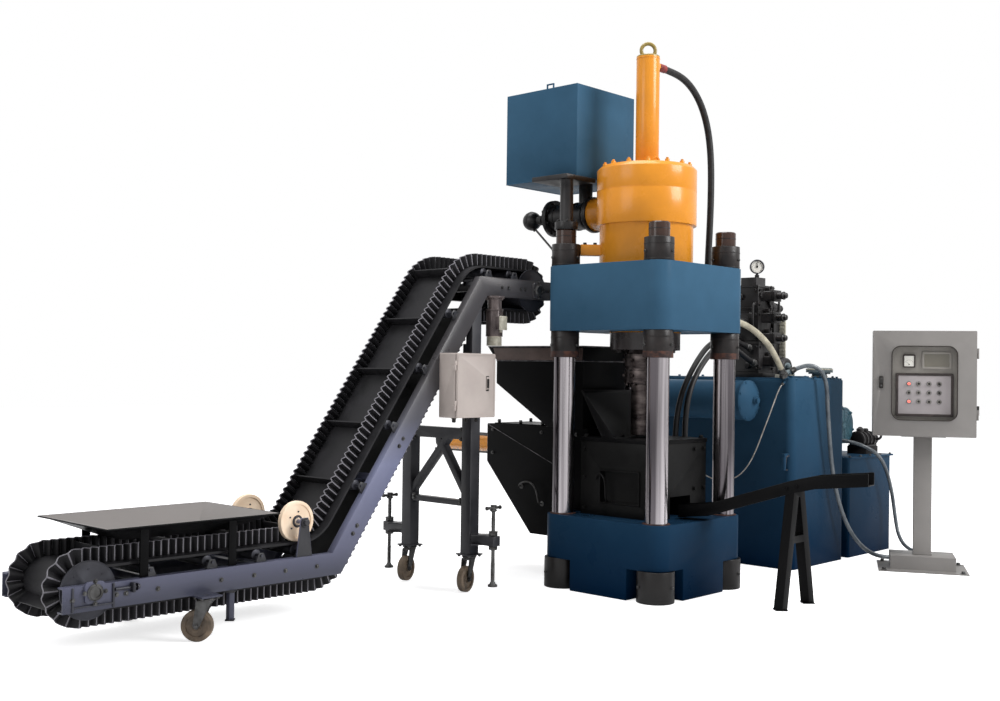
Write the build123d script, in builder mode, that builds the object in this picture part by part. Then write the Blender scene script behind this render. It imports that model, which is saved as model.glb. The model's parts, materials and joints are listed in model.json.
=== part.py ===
from build123d import *
import os
from math import atan2, cos, pi, radians, sin, sqrt, tan

# Metal chip briquetting machine: four-column press, inclined belt feeder, power unit and control
# cabinet. Millimetres. The origin is on the floor below the press axis, +X is the way the belt
# runs, towards the press, +Y points from the press to its feed box, and +Z is up.

os.makedirs("parts", exist_ok=True)

# Clearances
bolt_clearance = 0.5
slide_clearance = 0.5
pin_clearance = 0.08
face_gap = 0.3

# Press frame
platen_width = 930
platen_corner = 105
base_height = 465
daylight = 1165
crosshead_height = 415
column_spacing = 730
column_diameter = 140
shank_diameter = 130
column_end = 235
foot_notch = 245
foot_notch_height = 190
lower_nut_diameter = 230
upper_nut_diameter = 182
upper_nut_height = 142
collar_height = 168

# Main cylinder
neck_diameter = 450
neck_drop = 115
barrel_diameter = 600
barrel_height = 265
ring_diameter = 640
ring_height = 220
cylinder_bore = 300
rod_diameter = 240
gland_length = 85
cap_height = 160
cap_step = 15
cap_screws = 14
tube_diameter = 150
tube_height = 710
eye_diameter = 90
eye_bar = 24
valve_boss_diameter = 220
valve_boss_reach = 420

# Ram and mould
piston_height = 100
piston_top_gap = 250
ram_stroke = 290
coupling_diameter = 258
coupling_length = 190
punch_diameter = 170
punch_length = 330
mould_width = 570
mould_height = 465
mould_plate = 25
tunnel_width = 220
tunnel_height = 135
ejector_length = 300
feed_slot_bottom = 780
feed_slot_height = 132
feed_slot_width = 176

# Prefill tank and valve
prefill_width = 610
prefill_depth = 620
prefill_height = 605
prefill_bottom = 2635
prefill_near_y = 340
prefill_near_x = -300
valve_axis_z = 2420
valve_length = 370
post_diameter = 85

# Feed box, hopper and pusher
box_half_width = 200
box_front = 1200
box_top = 1000
box_gap = 20
sheet = 6
hopper_back = 1120
hopper_far_x = 250
hopper_height = 440
hopper_collar = 100
feed_cylinder_diameter = 120
feed_cylinder_length = 640
feed_stroke = 500
pusher_length = 140

# Discharge chute
chute_width = 130
chute_wall = 75
chute_gap = 17
chute_angle = 11.0
trestle_leg = 58

# Conveyor
conveyor_y = 922.5
frame_width = 625
rail_top = 352
rail_height = 120
rail_sheet = 8
rail_flange = 50
incline = 54.5
tail_x = -3607
lower_bend_x = -2042
lift = 1608
head_x = -218
belt_width = 500
belt_thickness = 12
belt_above_rail = 63
wall_height = 80
wall_inset = 50
wall_depth = 36
wall_sheet = 7
wall_pitch = 75
cleat_pitch = 380
tail_drum_diameter = 190
head_drum_diameter = 246
drum_gap = 1
drum_shaft = 40
drum_disc = 280
hold_wheel_diameter = 220
hold_wheel_width = 30
bracket_foot = 104
bracket_head = 48
bend_radius = 250
leg_x = -925
leg_width = 80
leg_foot = 232
caster_top = 224
caster_wheel_diameter = 160
caster_wheel_width = 42
caster_offset = 45
jack_reach = 180
jack_rod = 22
jack_drop = 52

# Power unit
tank_near_x = 1257
tank_near_y = -360
tank_width = 773
tank_length = 1600
tank_height = 1330
tank_lid = 15
cooler_diameter = 280
cooler_length = 900
cooler_gap = 10
aux_width = 700
aux_length = 620
aux_height = 750
motor_diameter = 300

# Control cabinet
cabinet_x = 2062
cabinet_y = -943
cabinet_turn = -62.95
cabinet_width = 690
cabinet_height = 745
cabinet_depth = 250
cabinet_bottom = 945
cabinet_sheet = 12
door_thickness = 22
window_width = 435
window_height = 520
window_corner = 60
post_width = 120
base_plate = 600

# Heights and places that follow from the sizes above
crosshead_bottom = base_height + daylight
crosshead_top = crosshead_bottom + crosshead_height
barrel_top = crosshead_top + barrel_height
ring_top = barrel_top + ring_height
cap_top = ring_top + cap_height
tube_bottom = cap_top + cap_step
tube_top = tube_bottom + tube_height
column_top = crosshead_top + column_end
mould_top = base_height + mould_height
plate_top = mould_top + mould_plate
piston_top = ring_top - piston_top_gap
gland_bottom = crosshead_bottom - neck_drop
coupling_top = gland_bottom - 25
punch_top = coupling_top - coupling_length
frame_near = conveyor_y - frame_width / 2
frame_far = conveyor_y + frame_width / 2
half_turn = tan(radians(incline / 2))
upper_bend_x = lower_bend_x + lift / tan(radians(incline))
rail_bottom = rail_top - rail_height
belt_near = conveyor_y - belt_width / 2
belt_far = conveyor_y + belt_width / 2
tail_path_radius = tail_drum_diameter / 2 + drum_gap
head_path_radius = head_drum_diameter / 2 + drum_gap
belt_low = rail_top + belt_above_rail
belt_high = belt_low + lift
tail_drum_x = tail_x + 152
tail_drum_z = belt_low - tail_path_radius
head_drum_x = head_x - 142
head_drum_z = belt_high - head_path_radius
belt_surface = belt_low + belt_thickness
hold_wheel_x = -2230
hold_wheel_z = belt_surface + face_gap + hold_wheel_diameter / 2
near_hold_y = belt_near + 25
far_hold_y = belt_far - 25
near_leg_y = frame_near + leg_width / 2
far_leg_y = frame_far - leg_width / 2
tank_far_x = tank_near_x + tank_width
tank_far_y = tank_near_y + tank_length
tank_top = tank_height + tank_lid


def side_plane(y):
    """A drawing plane at y that shows the side view: X to the right, Z up. It extrudes to smaller y."""
    return Plane.XZ.offset(-y)


def cross_plane(x):
    """A drawing plane at x that shows Y to the right and Z up. It extrudes to larger x."""
    return Plane.YZ.offset(x)


def save(piece, name):
    piece.part.label = name
    export_step(piece.part, f"parts/{name}.step")


def corner_radii(points):
    """Bend radii that suit a hose's runs: each takes most of the shorter run beside its corner."""
    radii = []
    for before, corner, after in zip(points, points[1:], points[2:]):
        first = Vector(*corner) - Vector(*before)
        second = Vector(*after) - Vector(*corner)
        half = radians(first.get_angle(second)) / 2
        radii.append(0.45 * min(first.length, second.length) / tan(half))
    return radii


# Hose diameters and hand-set routes, from one fitting to the other
hose_routes = {
    "top_hose": (
        46,
        [
            (100, 0, 3365),
            (235, 0, 3365),
            (400, 0, 3346),
            (530, 0, 3285),
            (640, 0, 3175),
            (712, 0, 3020),
            (744, 0, 2830),
            (750, 2, 2600),
            (748, 8, 2370),
            (752, 22, 2150),
            (790, 50, 1960),
            (900, 85, 1830),
            (1050, 120, 1768),
            (1220, 150, 1745),
            (1400, 150, 1745),
        ],
    ),
    "drain_hose": (
        42,
        [
            (485, -250, 1706),
            (570, -250, 1718),
            (670, -251, 1722),
            (785, -253, 1706),
            (905, -257, 1668),
            (1020, -262, 1612),
            (1118, -268, 1543),
            (1196, -275, 1456),
            (1258, -281, 1372),
        ],
    ),
    "ram_hose_a": (
        38,
        [
            (1405, 90, 1560),
            (1280, 76, 1590),
            (1145, 56, 1612),
            (1000, 34, 1620),
            (850, 14, 1600),
            (715, 2, 1548),
            (612, -1, 1468),
            (520, -3, 1376),
            (440, -4, 1277),
            (384, -5, 1166),
            (355, -6, 1055),
            (343, -6, 950),
            (340, -6, 862),
        ],
    ),
    "ram_hose_b": (
        38,
        [
            (1405, 50, 1450),
            (1290, 32, 1478),
            (1160, 7, 1520),
            (1020, -20, 1552),
            (885, -42, 1568),
            (765, -56, 1555),
            (666, -62, 1508),
            (575, -63, 1440),
            (495, -62, 1358),
            (430, -61, 1265),
            (394, -60, 1160),
            (378, -60, 1050),
            (373, -60, 950),
            (372, -60, 862),
        ],
    ),
    "tank_conduit": (
        30,
        [
            (1392, -262, 1392),
            (1450, -318, 1430),
            (1512, -372, 1438),
            (1564, -412, 1398),
            (1592, -432, 1325),
            (1606, -436, 1240),
            (1622, -430, 1150),
            (1645, -427, 1040),
            (1668, -424, 920),
            (1695, -421, 800),
            (1725, -420, 680),
            (1762, -422, 565),
            (1805, -428, 455),
            (1850, -440, 350),
            (1902, -458, 255),
            (1965, -484, 165),
            (2040, -520, 90),
            (2125, -560, 42),
            (2215, -608, 22),
            (2290, -668, 20),
            (2340, -744, 26),
            (2348, -830, 36),
            (2316, -893, 46),
            (2246, -936, 50),
        ],
    ),
    "cabinet_conduit": (
        28,
        [
            (2235, -205, 872),
            (2250, -290, 862),
            (2295, -370, 835),
            (2368, -430, 790),
            (2448, -452, 725),
            (2522, -456, 640),
            (2583, -456, 545),
            (2627, -457, 445),
            (2650, -462, 340),
            (2652, -476, 235),
            (2633, -505, 142),
            (2600, -562, 74),
            (2558, -645, 42),
            (2513, -738, 34),
            (2462, -826, 38),
            (2402, -900, 46),
            (2342, -954, 50),
            (2274, -990, 52),
        ],
    ),
    "sensor_cable": (
        8,
        [
            (1243, -290, 1305),
            (1218, -286, 1290),
            (1204, -272, 1250),
            (1200, -246, 1180),
            (1200, -215, 1100),
            (1200, -180, 1015),
            (1200, -139, 915),
            (1200, -95, 810),
            (1200, -40, 715),
            (1200, 25, 645),
            (1200, 98, 605),
            (1200, 175, 590),
            (1201, 255, 598),
            (1203, 330, 625),
            (1210, 395, 660),
            (1228, 450, 680),
            (1250, 487, 688),
        ],
    ),
}

def hose_start(name):
    """Plane at a hose's first end, facing out of the hose into the fitting that holds it."""
    points = hose_routes[name][1]
    return Plane(origin=points[0], z_dir=Vector(*points[0]) - Vector(*points[1]))


def hose_finish(name):
    """Plane at a hose's last end, facing out of the hose into the fitting that holds it."""
    points = hose_routes[name][1]
    return Plane(origin=points[-1], z_dir=Vector(*points[-1]) - Vector(*points[-2]))


# Press base: one casting, notched at its corners for the lower column nuts
with BuildPart() as press_base:
    with BuildSketch():
        RectangleRounded(platen_width, platen_width, platen_corner)
    extrude(amount=base_height)
    with BuildSketch():
        with GridLocations(platen_width, platen_width, 2, 2):
            Rectangle(2 * foot_notch, 2 * foot_notch)
    extrude(amount=foot_notch_height, mode=Mode.SUBTRACT)
    with BuildSketch(Plane.XY.offset(foot_notch_height)):
        with GridLocations(column_spacing, column_spacing, 2, 2):
            Circle(shank_diameter / 2 + bolt_clearance)
    extrude(amount=base_height, mode=Mode.SUBTRACT)
save(press_base, "press_base")

with BuildPart() as crosshead:
    with BuildSketch(Plane.XY.offset(crosshead_bottom)):
        RectangleRounded(platen_width, platen_width, platen_corner)
        Circle(neck_diameter / 2 + bolt_clearance, mode=Mode.SUBTRACT)
        with GridLocations(column_spacing, column_spacing, 2, 2):
            Circle(shank_diameter / 2 + bolt_clearance, mode=Mode.SUBTRACT)
    extrude(amount=crosshead_height)
    with BuildSketch(hose_start("drain_hose")):
        Circle(27)
    extrude(amount=50)
save(crosshead, "crosshead")

with BuildPart() as tie_columns:
    shank_bottom = foot_notch_height / 4
    with BuildSketch(Plane.XY.offset(shank_bottom)):
        with GridLocations(column_spacing, column_spacing, 2, 2):
            Circle(shank_diameter / 2)
    extrude(amount=column_top - shank_bottom)
    with BuildSketch(Plane.XY.offset(base_height)):
        with GridLocations(column_spacing, column_spacing, 2, 2):
            Circle(column_diameter / 2)
    extrude(amount=daylight)
    chamfer(tie_columns.edges().group_by(Axis.Z)[-1], length=6)
save(tie_columns, "tie_columns")

# Nuts on the columns: round ones under the base, collars below the crosshead, nuts above it
with BuildPart() as column_nuts:
    with BuildSketch():
        with GridLocations(column_spacing, column_spacing, 2, 2):
            Circle(lower_nut_diameter / 2)
            Circle(shank_diameter / 2 + bolt_clearance, mode=Mode.SUBTRACT)
    extrude(amount=foot_notch_height)
    with BuildSketch(Plane.XY.offset(crosshead_bottom - collar_height)):
        with GridLocations(column_spacing, column_spacing, 2, 2):
            Circle(upper_nut_diameter / 2)
            Circle(column_diameter / 2 + bolt_clearance, mode=Mode.SUBTRACT)
    extrude(amount=collar_height)
    with BuildSketch(Plane.XY.offset(crosshead_top)):
        with GridLocations(column_spacing, column_spacing, 2, 2):
            Circle(upper_nut_diameter / 2)
            Circle(shank_diameter / 2 + bolt_clearance, mode=Mode.SUBTRACT)
    extrude(amount=upper_nut_height)
save(column_nuts, "column_nuts")

# Main cylinder: a neck through the crosshead, the barrel and a thicker ring with the valve boss
with BuildPart() as main_cylinder:
    with BuildSketch(Plane.XZ):
        Polygon(
            (rod_diameter / 2 + slide_clearance, gland_bottom),
            (neck_diameter / 2, gland_bottom),
            (neck_diameter / 2, crosshead_top),
            (barrel_diameter / 2, crosshead_top),
            (barrel_diameter / 2, barrel_top),
            (ring_diameter / 2, barrel_top),
            (ring_diameter / 2, ring_top),
            (cylinder_bore / 2, ring_top),
            (cylinder_bore / 2, gland_bottom + gland_length),
            (rod_diameter / 2 + slide_clearance, gland_bottom + gland_length),
            align=None,
        )
    revolve(axis=Axis.Z)
    with BuildSketch(side_plane(valve_boss_reach)):
        with Locations((0, valve_axis_z)):
            Circle(valve_boss_diameter / 2)
    extrude(amount=valve_boss_reach - ring_diameter / 2 + 60)
    lock_bar_length = column_spacing / sqrt(2) - upper_nut_diameter / 2 - bolt_clearance
    nut_side = Plane(origin=(0, 0, crosshead_top + 72), x_dir=(-1, 1, 0), z_dir=(0, 0, 1))
    with BuildSketch(nut_side):
        with Locations(((lock_bar_length + barrel_diameter / 2 - 20) / 2, 0)):
            Rectangle(lock_bar_length - barrel_diameter / 2 + 20, 60)
    extrude(amount=70)
save(main_cylinder, "main_cylinder")

with BuildPart() as cylinder_cap:
    with BuildSketch(Plane.XZ):
        Polygon(
            (0, ring_top),
            (ring_diameter / 2, ring_top),
            (ring_diameter / 2, cap_top - 25),
            (ring_diameter / 2 - 25, cap_top),
            (tube_diameter / 2 + 30, cap_top),
            (tube_diameter / 2 + 30, tube_bottom),
            (0, tube_bottom),
            align=None,
        )
    revolve(axis=Axis.Z)
    with BuildSketch(Plane.XY.offset(cap_top)):
        with PolarLocations(ring_diameter / 2 - 45, cap_screws, start_angle=12):
            Circle(15)
            Circle(6, mode=Mode.SUBTRACT)
    extrude(amount=16)
    lug_plane = Plane(origin=(-110, -150, cap_top), x_dir=(0.684, -0.729, 0), z_dir=(-0.729, -0.684, 0))
    with BuildSketch(lug_plane):
        with Locations((0, 18)):
            Circle(24)
        Rectangle(48, 36)
        with Locations((0, 20)):
            Circle(11, mode=Mode.SUBTRACT)
    extrude(amount=8, both=True)
    split(bisect_by=Plane.XY.offset(ring_top), keep=Keep.TOP)
save(cylinder_cap, "cylinder_cap")

with BuildPart() as rapid_tube:
    with BuildSketch(Plane.XY.offset(tube_bottom)):
        Circle(tube_diameter / 2)
    extrude(amount=tube_height)
    chamfer(rapid_tube.edges().group_by(Axis.Z)[-1], length=5)
    eye_centre = tube_top + eye_diameter / 2 - 10
    eye_plane = Plane(origin=(0, 0, eye_centre), x_dir=(0, 0, 1), z_dir=(1, -1, 0))
    with BuildSketch(eye_plane):
        with Locations((eye_diameter / 2, 0)):
            Circle(eye_bar / 2)
    revolve(axis=Axis((0, 0, eye_centre), (1, 1, 0)))
    with BuildSketch(hose_start("top_hose")):
        Circle(30)
    extrude(amount=60)
save(rapid_tube, "rapid_tube")

# Prefill valve on the boss, its ball accumulator and thin pilot pipe, and the pipe up to the tank
ball_radius = 66
ball_y = valve_boss_reach + valve_length + 195
with BuildPart() as prefill_valve:
    for start, length, radius in (
        (0, 25, 120),
        (25, valve_length - 55, 92),
        (valve_length - 30, 30, 125),
        (valve_length, 145, 28),
    ):
        with BuildSketch(side_plane(valve_boss_reach + start + length)):
            with Locations((0, valve_axis_z)):
                Circle(radius)
        extrude(amount=length)
    with BuildSketch(Plane.XY.offset(valve_axis_z)):
        with Locations((0, valve_boss_reach + 85)):
            Circle(46)
    extrude(amount=prefill_bottom - valve_axis_z)
    with BuildSketch(Plane(origin=(0, ball_y, valve_axis_z), x_dir=(0, 1, 0), z_dir=(1, 0, 0))):
        with BuildLine():
            Line((-ball_radius, 0), (ball_radius, 0))
            ThreePointArc((ball_radius, 0), (0, ball_radius), (-ball_radius, 0))
        make_face()
    revolve(axis=Axis((0, ball_y, valve_axis_z), (0, 1, 0)))
    pipe_start = Vector(0, ball_y - 20, valve_axis_z - 50)
    pipe_end = Vector(-column_spacing / 2, column_spacing / 2 + upper_nut_diameter / 2 + 6, crosshead_top + 100)
    with BuildSketch(Plane(origin=pipe_start, z_dir=pipe_end - pipe_start)):
        Circle(7)
    extrude(amount=(pipe_end - pipe_start).length)
save(prefill_valve, "prefill_valve")

prefill_x = prefill_near_x + prefill_width / 2
prefill_y = prefill_near_y + prefill_depth / 2
with BuildPart() as prefill_tank:
    with BuildSketch(Plane.XY.offset(prefill_bottom)):
        with Locations((prefill_x, prefill_y)):
            Rectangle(prefill_width, prefill_depth)
    extrude(amount=prefill_height)
    prefill_top = prefill_bottom + prefill_height
    with BuildSketch(cross_plane(prefill_near_x + 40)):
        with Locations((prefill_y - 40, prefill_top + 20)):
            Rectangle(64, 48)
            with Locations((0, -6)):
                Rectangle(44, 40, mode=Mode.SUBTRACT)
    extrude(amount=10)
save(prefill_tank, "prefill_tank")

with BuildPart() as tank_post:
    post_x = -column_spacing / 2
    post_y = column_spacing / 2
    with BuildSketch(Plane.XY.offset(column_top)):
        with Locations((post_x, post_y)):
            Circle(shank_diameter / 2 + 10)
    extrude(amount=50)
    with BuildSketch(Plane.XY.offset(column_top + 50)):
        with Locations((post_x, post_y)):
            Circle(post_diameter / 2)
    extrude(amount=prefill_bottom - 30 - column_top - 50)
    with BuildSketch(Plane.XY.offset(prefill_bottom - 30)):
        with Locations((post_x + 80, post_y + 95)):
            Rectangle(290, 300)
    extrude(amount=30)
save(tank_post, "tank_post")

# Ram: piston, rod and coupling turned in one piece, and the punch bolted below it
with BuildPart() as ram:
    with BuildSketch(Plane.XZ):
        Polygon(
            (0, punch_top),
            (coupling_diameter / 2, punch_top),
            (coupling_diameter / 2, punch_top + 85),
            (coupling_diameter / 2 - 8, punch_top + 85),
            (coupling_diameter / 2 - 8, punch_top + 105),
            (coupling_diameter / 2, punch_top + 105),
            (coupling_diameter / 2, coupling_top),
            (rod_diameter / 2, coupling_top),
            (rod_diameter / 2, piston_top - piston_height),
            (cylinder_bore / 2 - slide_clearance, piston_top - piston_height),
            (cylinder_bore / 2 - slide_clearance, piston_top),
            (0, piston_top),
            align=None,
        )
    revolve(axis=Axis.Z)
save(ram, "ram")

with BuildPart() as punch:
    with BuildSketch(Plane.XY.offset(punch_top - punch_length)):
        Circle(punch_diameter / 2)
    extrude(amount=punch_length)
    chamfer(punch.edges().group_by(Axis.Z)[0], length=4)
save(punch, "punch")

# Mould block: die bore, feed slot from the box side, ejector tunnel along Y and a side window
die_floor = base_height + tunnel_height
with BuildPart() as mould_body:
    with BuildSketch(Plane.XY.offset(base_height)):
        Rectangle(mould_width, mould_width)
    extrude(amount=mould_height)
    with BuildSketch(Plane.XY.offset(die_floor)):
        Circle(punch_diameter / 2 + slide_clearance)
    extrude(amount=mould_height, mode=Mode.SUBTRACT)
    with BuildSketch(side_plane(mould_width / 2)):
        with Locations((0, base_height + tunnel_height / 2)):
            Rectangle(tunnel_width, tunnel_height)
    extrude(amount=mould_width, mode=Mode.SUBTRACT)
    with BuildSketch(side_plane(mould_width / 2)):
        with Locations((0, feed_slot_bottom + feed_slot_height / 2)):
            Rectangle(feed_slot_width, feed_slot_height)
    extrude(amount=mould_width / 2, mode=Mode.SUBTRACT)
    with BuildSketch(cross_plane(-mould_width / 2)):
        with Locations((-25, base_height + 185)):
            RectangleRounded(300, 200, 12)
    extrude(amount=45, mode=Mode.SUBTRACT)
    with BuildSketch(Plane.XY.offset(790)):
        with Locations((mould_width / 2 + 58, -33)):
            Rectangle(118, 116)
    extrude(amount=50)
    for hose_name in ("ram_hose_a", "ram_hose_b"):
        with BuildSketch(hose_finish(hose_name)):
            Circle(23)
        extrude(amount=40)
save(mould_body, "mould_body")

with BuildPart() as guide_funnel:
    with BuildSketch(Plane.XY.offset(mould_top)):
        Rectangle(mould_width + 10, mould_width + 10)
        Circle(punch_diameter / 2 + 22, mode=Mode.SUBTRACT)
    extrude(amount=mould_plate)
    funnel_half = mould_width / 2 - 2
    with BuildSketch(cross_plane(-funnel_half)):
        Polygon(
            (110, plate_top - 2), (120, plate_top - 2), (box_gap + 272, 1250), (box_gap + 262, 1250), align=None
        )
    extrude(amount=2 * funnel_half)
    for cheek_x in (-funnel_half, funnel_half - sheet):
        with BuildSketch(cross_plane(cheek_x)):
            Polygon((20, plate_top - 2), (114, plate_top - 2), (box_gap + 264, 1246), align=None)
        extrude(amount=sheet)
save(guide_funnel, "guide_funnel")

with BuildPart() as ejector_slide:
    with BuildSketch(side_plane(mould_width / 2 - 10)):
        with Locations((0, base_height + tunnel_height / 2)):
            Rectangle(tunnel_width - 2 * slide_clearance, tunnel_height - 2 * slide_clearance)
    extrude(amount=ejector_length)
    with BuildSketch(Plane.XY.offset(base_height + 30)):
        with Locations((0, mould_width / 2 - 10 - ejector_length)):
            Circle(punch_diameter / 2 - 15)
    extrude(amount=tunnel_height, mode=Mode.SUBTRACT)
save(ejector_slide, "ejector_slide")

# Discharge chute: a channel that climbs away from the press on an A-frame trestle
chute_heading = radians(chute_angle)
chute_dir = Vector(sin(chute_heading), -cos(chute_heading), 0)
chute_side = Vector(-cos(chute_heading), -sin(chute_heading), 0)
chute_start = Vector(0, -mould_width / 2 - chute_gap, 0)
chute_line = [(0, 476), (200, 500), (720, 672), (860, 706), (1165, 738)]


def chute_plane(shift):
    """The chute's own side view: its length to the right, Z up, moved sideways by shift."""
    return Plane(origin=chute_start + chute_side * shift, x_dir=chute_dir, z_dir=chute_side)


with BuildPart() as discharge_chute:
    for shift in (-chute_width / 2, chute_width / 2 - sheet):
        with BuildSketch(chute_plane(shift)):
            Polygon(*chute_line, *[(s, z + chute_wall) for s, z in reversed(chute_line)], align=None)
        extrude(amount=sheet)
    with BuildSketch(chute_plane(-chute_width / 2)):
        Polygon(*chute_line, *[(s, z + sheet) for s, z in reversed(chute_line)], align=None)
    extrude(amount=chute_width)
    trestle = Plane(origin=chute_start + chute_dir * 720, x_dir=(1, 0, 0), z_dir=(0, -1, 0))
    with BuildSketch(trestle):
        for side in (-1, 1):
            Polygon(
                (side * 60, 684),
                (side * (60 - trestle_leg), 684),
                (side * (188 - trestle_leg), 0),
                (side * 188, 0),
                align=None,
            )
        with Locations((0, 400)):
            Rectangle(190, 42)
        with Locations((0, 664)):
            Rectangle(120, 30)
    extrude(amount=trestle_leg / 2, both=True)
save(discharge_chute, "discharge_chute")

# Feed box: a sheet bin beside the press with the pusher's channel across its top
hopper_near = mould_width / 2 + box_gap + 40
with BuildPart() as feed_box:
    box_near = mould_width / 2 + box_gap
    with BuildSketch(cross_plane(-box_half_width)):
        Polygon(
            (box_front, box_top),
            (box_front, 738),
            (790, 275),
            (platen_width / 2 + 15, 275),
            (platen_width / 2 + 15, base_height + 5),
            (box_near, base_height + 5),
            (box_near, box_top),
            align=None,
        )
    extrude(amount=2 * box_half_width)
    with BuildSketch(cross_plane(-box_half_width + sheet)):
        Polygon(
            (box_front - sheet, feed_slot_bottom - sheet),
            (box_front - sheet, 741),
            (787, 281),
            (platen_width / 2 + 21, 281),
            (platen_width / 2 + 21, feed_slot_bottom - sheet),
            align=None,
        )
    extrude(amount=2 * (box_half_width - sheet), mode=Mode.SUBTRACT)
    with BuildSketch(side_plane(box_front - sheet)):
        with Locations((0, feed_slot_bottom + feed_slot_height / 2)):
            Rectangle(feed_slot_width, feed_slot_height)
    extrude(amount=box_front, mode=Mode.SUBTRACT)
    with BuildSketch(side_plane(box_front)):
        with Locations((0, feed_slot_bottom + feed_slot_height / 2)):
            Circle(25)
    extrude(amount=2 * sheet, mode=Mode.SUBTRACT)
    with BuildSketch(Plane.XY.offset(feed_slot_bottom + 40)):
        with Locations((0, (hopper_near + 620) / 2 + 10)):
            Rectangle(feed_slot_width, 620 - hopper_near - 20)
    extrude(amount=box_top, mode=Mode.SUBTRACT)
    with BuildSketch(Plane.XY.offset(box_top)):
        with Locations((0, 920)):
            Rectangle(2 * box_half_width - 30, 450)
    extrude(amount=8)
    with BuildSketch(Plane.XY.offset(box_top + 8)):
        with Locations((0, 920)):
            with GridLocations(2 * box_half_width - 70, 200, 2, 3):
                Circle(11)
    extrude(amount=10)
save(feed_box, "feed_box")

with BuildPart() as feed_hopper:
    for inset in (0, sheet):
        with BuildSketch(cross_plane(-box_half_width + inset)):
            Polygon(
                (hopper_near + inset, box_top - inset),
                (650 - inset, box_top - inset),
                (hopper_back - inset, 1283 + inset / 2),
                (hopper_back - inset, box_top + hopper_height + inset),
                (hopper_near + inset, box_top + hopper_height + inset),
                align=None,
            )
        extrude(
            amount=box_half_width + hopper_far_x - 2 * inset,
            mode=Mode.SUBTRACT if inset else Mode.ADD,
        )
    hopper_x = (hopper_far_x - box_half_width) / 2
    collar_y = (hopper_near + hopper_back) / 2
    for inset in (0, sheet):
        with BuildSketch(Plane.XY.offset(box_top + hopper_height - inset)):
            with Locations((hopper_x, collar_y)):
                Rectangle(box_half_width + hopper_far_x - 2 * inset, hopper_back - hopper_near - 2 * inset)
        with BuildSketch(Plane.XY.offset(box_top + hopper_height + hopper_collar + inset)):
            with Locations((hopper_x, collar_y + 35)):
                Rectangle(
                    box_half_width + hopper_far_x + 20 - 2 * inset,
                    hopper_back - hopper_near + 90 - 2 * inset,
                )
        loft(mode=Mode.SUBTRACT if inset else Mode.ADD)
save(feed_hopper, "feed_hopper")

feed_axis_z = feed_slot_bottom + feed_slot_height / 2
feed_flange = 22
feed_rod = 44
feed_end = box_front + feed_flange + feed_cylinder_length
with BuildPart() as feed_cylinder:
    with BuildSketch(side_plane(box_front + feed_flange)):
        with Locations((0, feed_axis_z)):
            Rectangle(160, 160)
    extrude(amount=feed_flange)
    with BuildSketch(side_plane(feed_end)):
        with Locations((0, feed_axis_z)):
            Circle(feed_cylinder_diameter / 2)
    extrude(amount=feed_cylinder_length)
    with BuildSketch(side_plane(feed_end - 25)):
        with Locations((0, feed_axis_z)):
            Circle(feed_cylinder_diameter / 2 - 12)
    extrude(amount=feed_cylinder_length - 25, mode=Mode.SUBTRACT)
    with BuildSketch(side_plane(box_front + feed_flange + 1)):
        with Locations((0, feed_axis_z)):
            Circle(feed_rod / 2 + slide_clearance)
    extrude(amount=feed_flange + 1, mode=Mode.SUBTRACT)
save(feed_cylinder, "feed_cylinder")

with BuildPart() as feed_pusher:
    pusher_front = 655
    with BuildSketch(side_plane(pusher_front + pusher_length)):
        with Locations((0, feed_axis_z)):
            Rectangle(feed_slot_width - 2 * slide_clearance, feed_slot_height - 2 * slide_clearance)
    extrude(amount=pusher_length)
    with BuildSketch(side_plane(feed_end - 40)):
        with Locations((0, feed_axis_z)):
            Circle(feed_rod / 2)
    extrude(amount=feed_end - 40 - pusher_front - pusher_length)
    with BuildSketch(side_plane(feed_end - 40)):
        with Locations((0, feed_axis_z)):
            Circle(feed_cylinder_diameter / 2 - 12 - slide_clearance)
    extrude(amount=40)
save(feed_pusher, "feed_pusher")


def slope_height(x, above):
    """Z at x of a line on the incline that lies the given height above the rails, square to them."""
    corner = lower_bend_x - above * half_turn
    return rail_top + above + (x - corner) * tan(radians(incline))


def rail_line(above):
    """The rails' bent course in side view, moved square to itself by the given height."""
    shift = above * half_turn
    return [
        (tail_x, rail_top + above),
        (lower_bend_x - shift, rail_top + above),
        (upper_bend_x - shift, rail_top + lift + above),
        (head_x, rail_top + lift + above),
    ]


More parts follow.
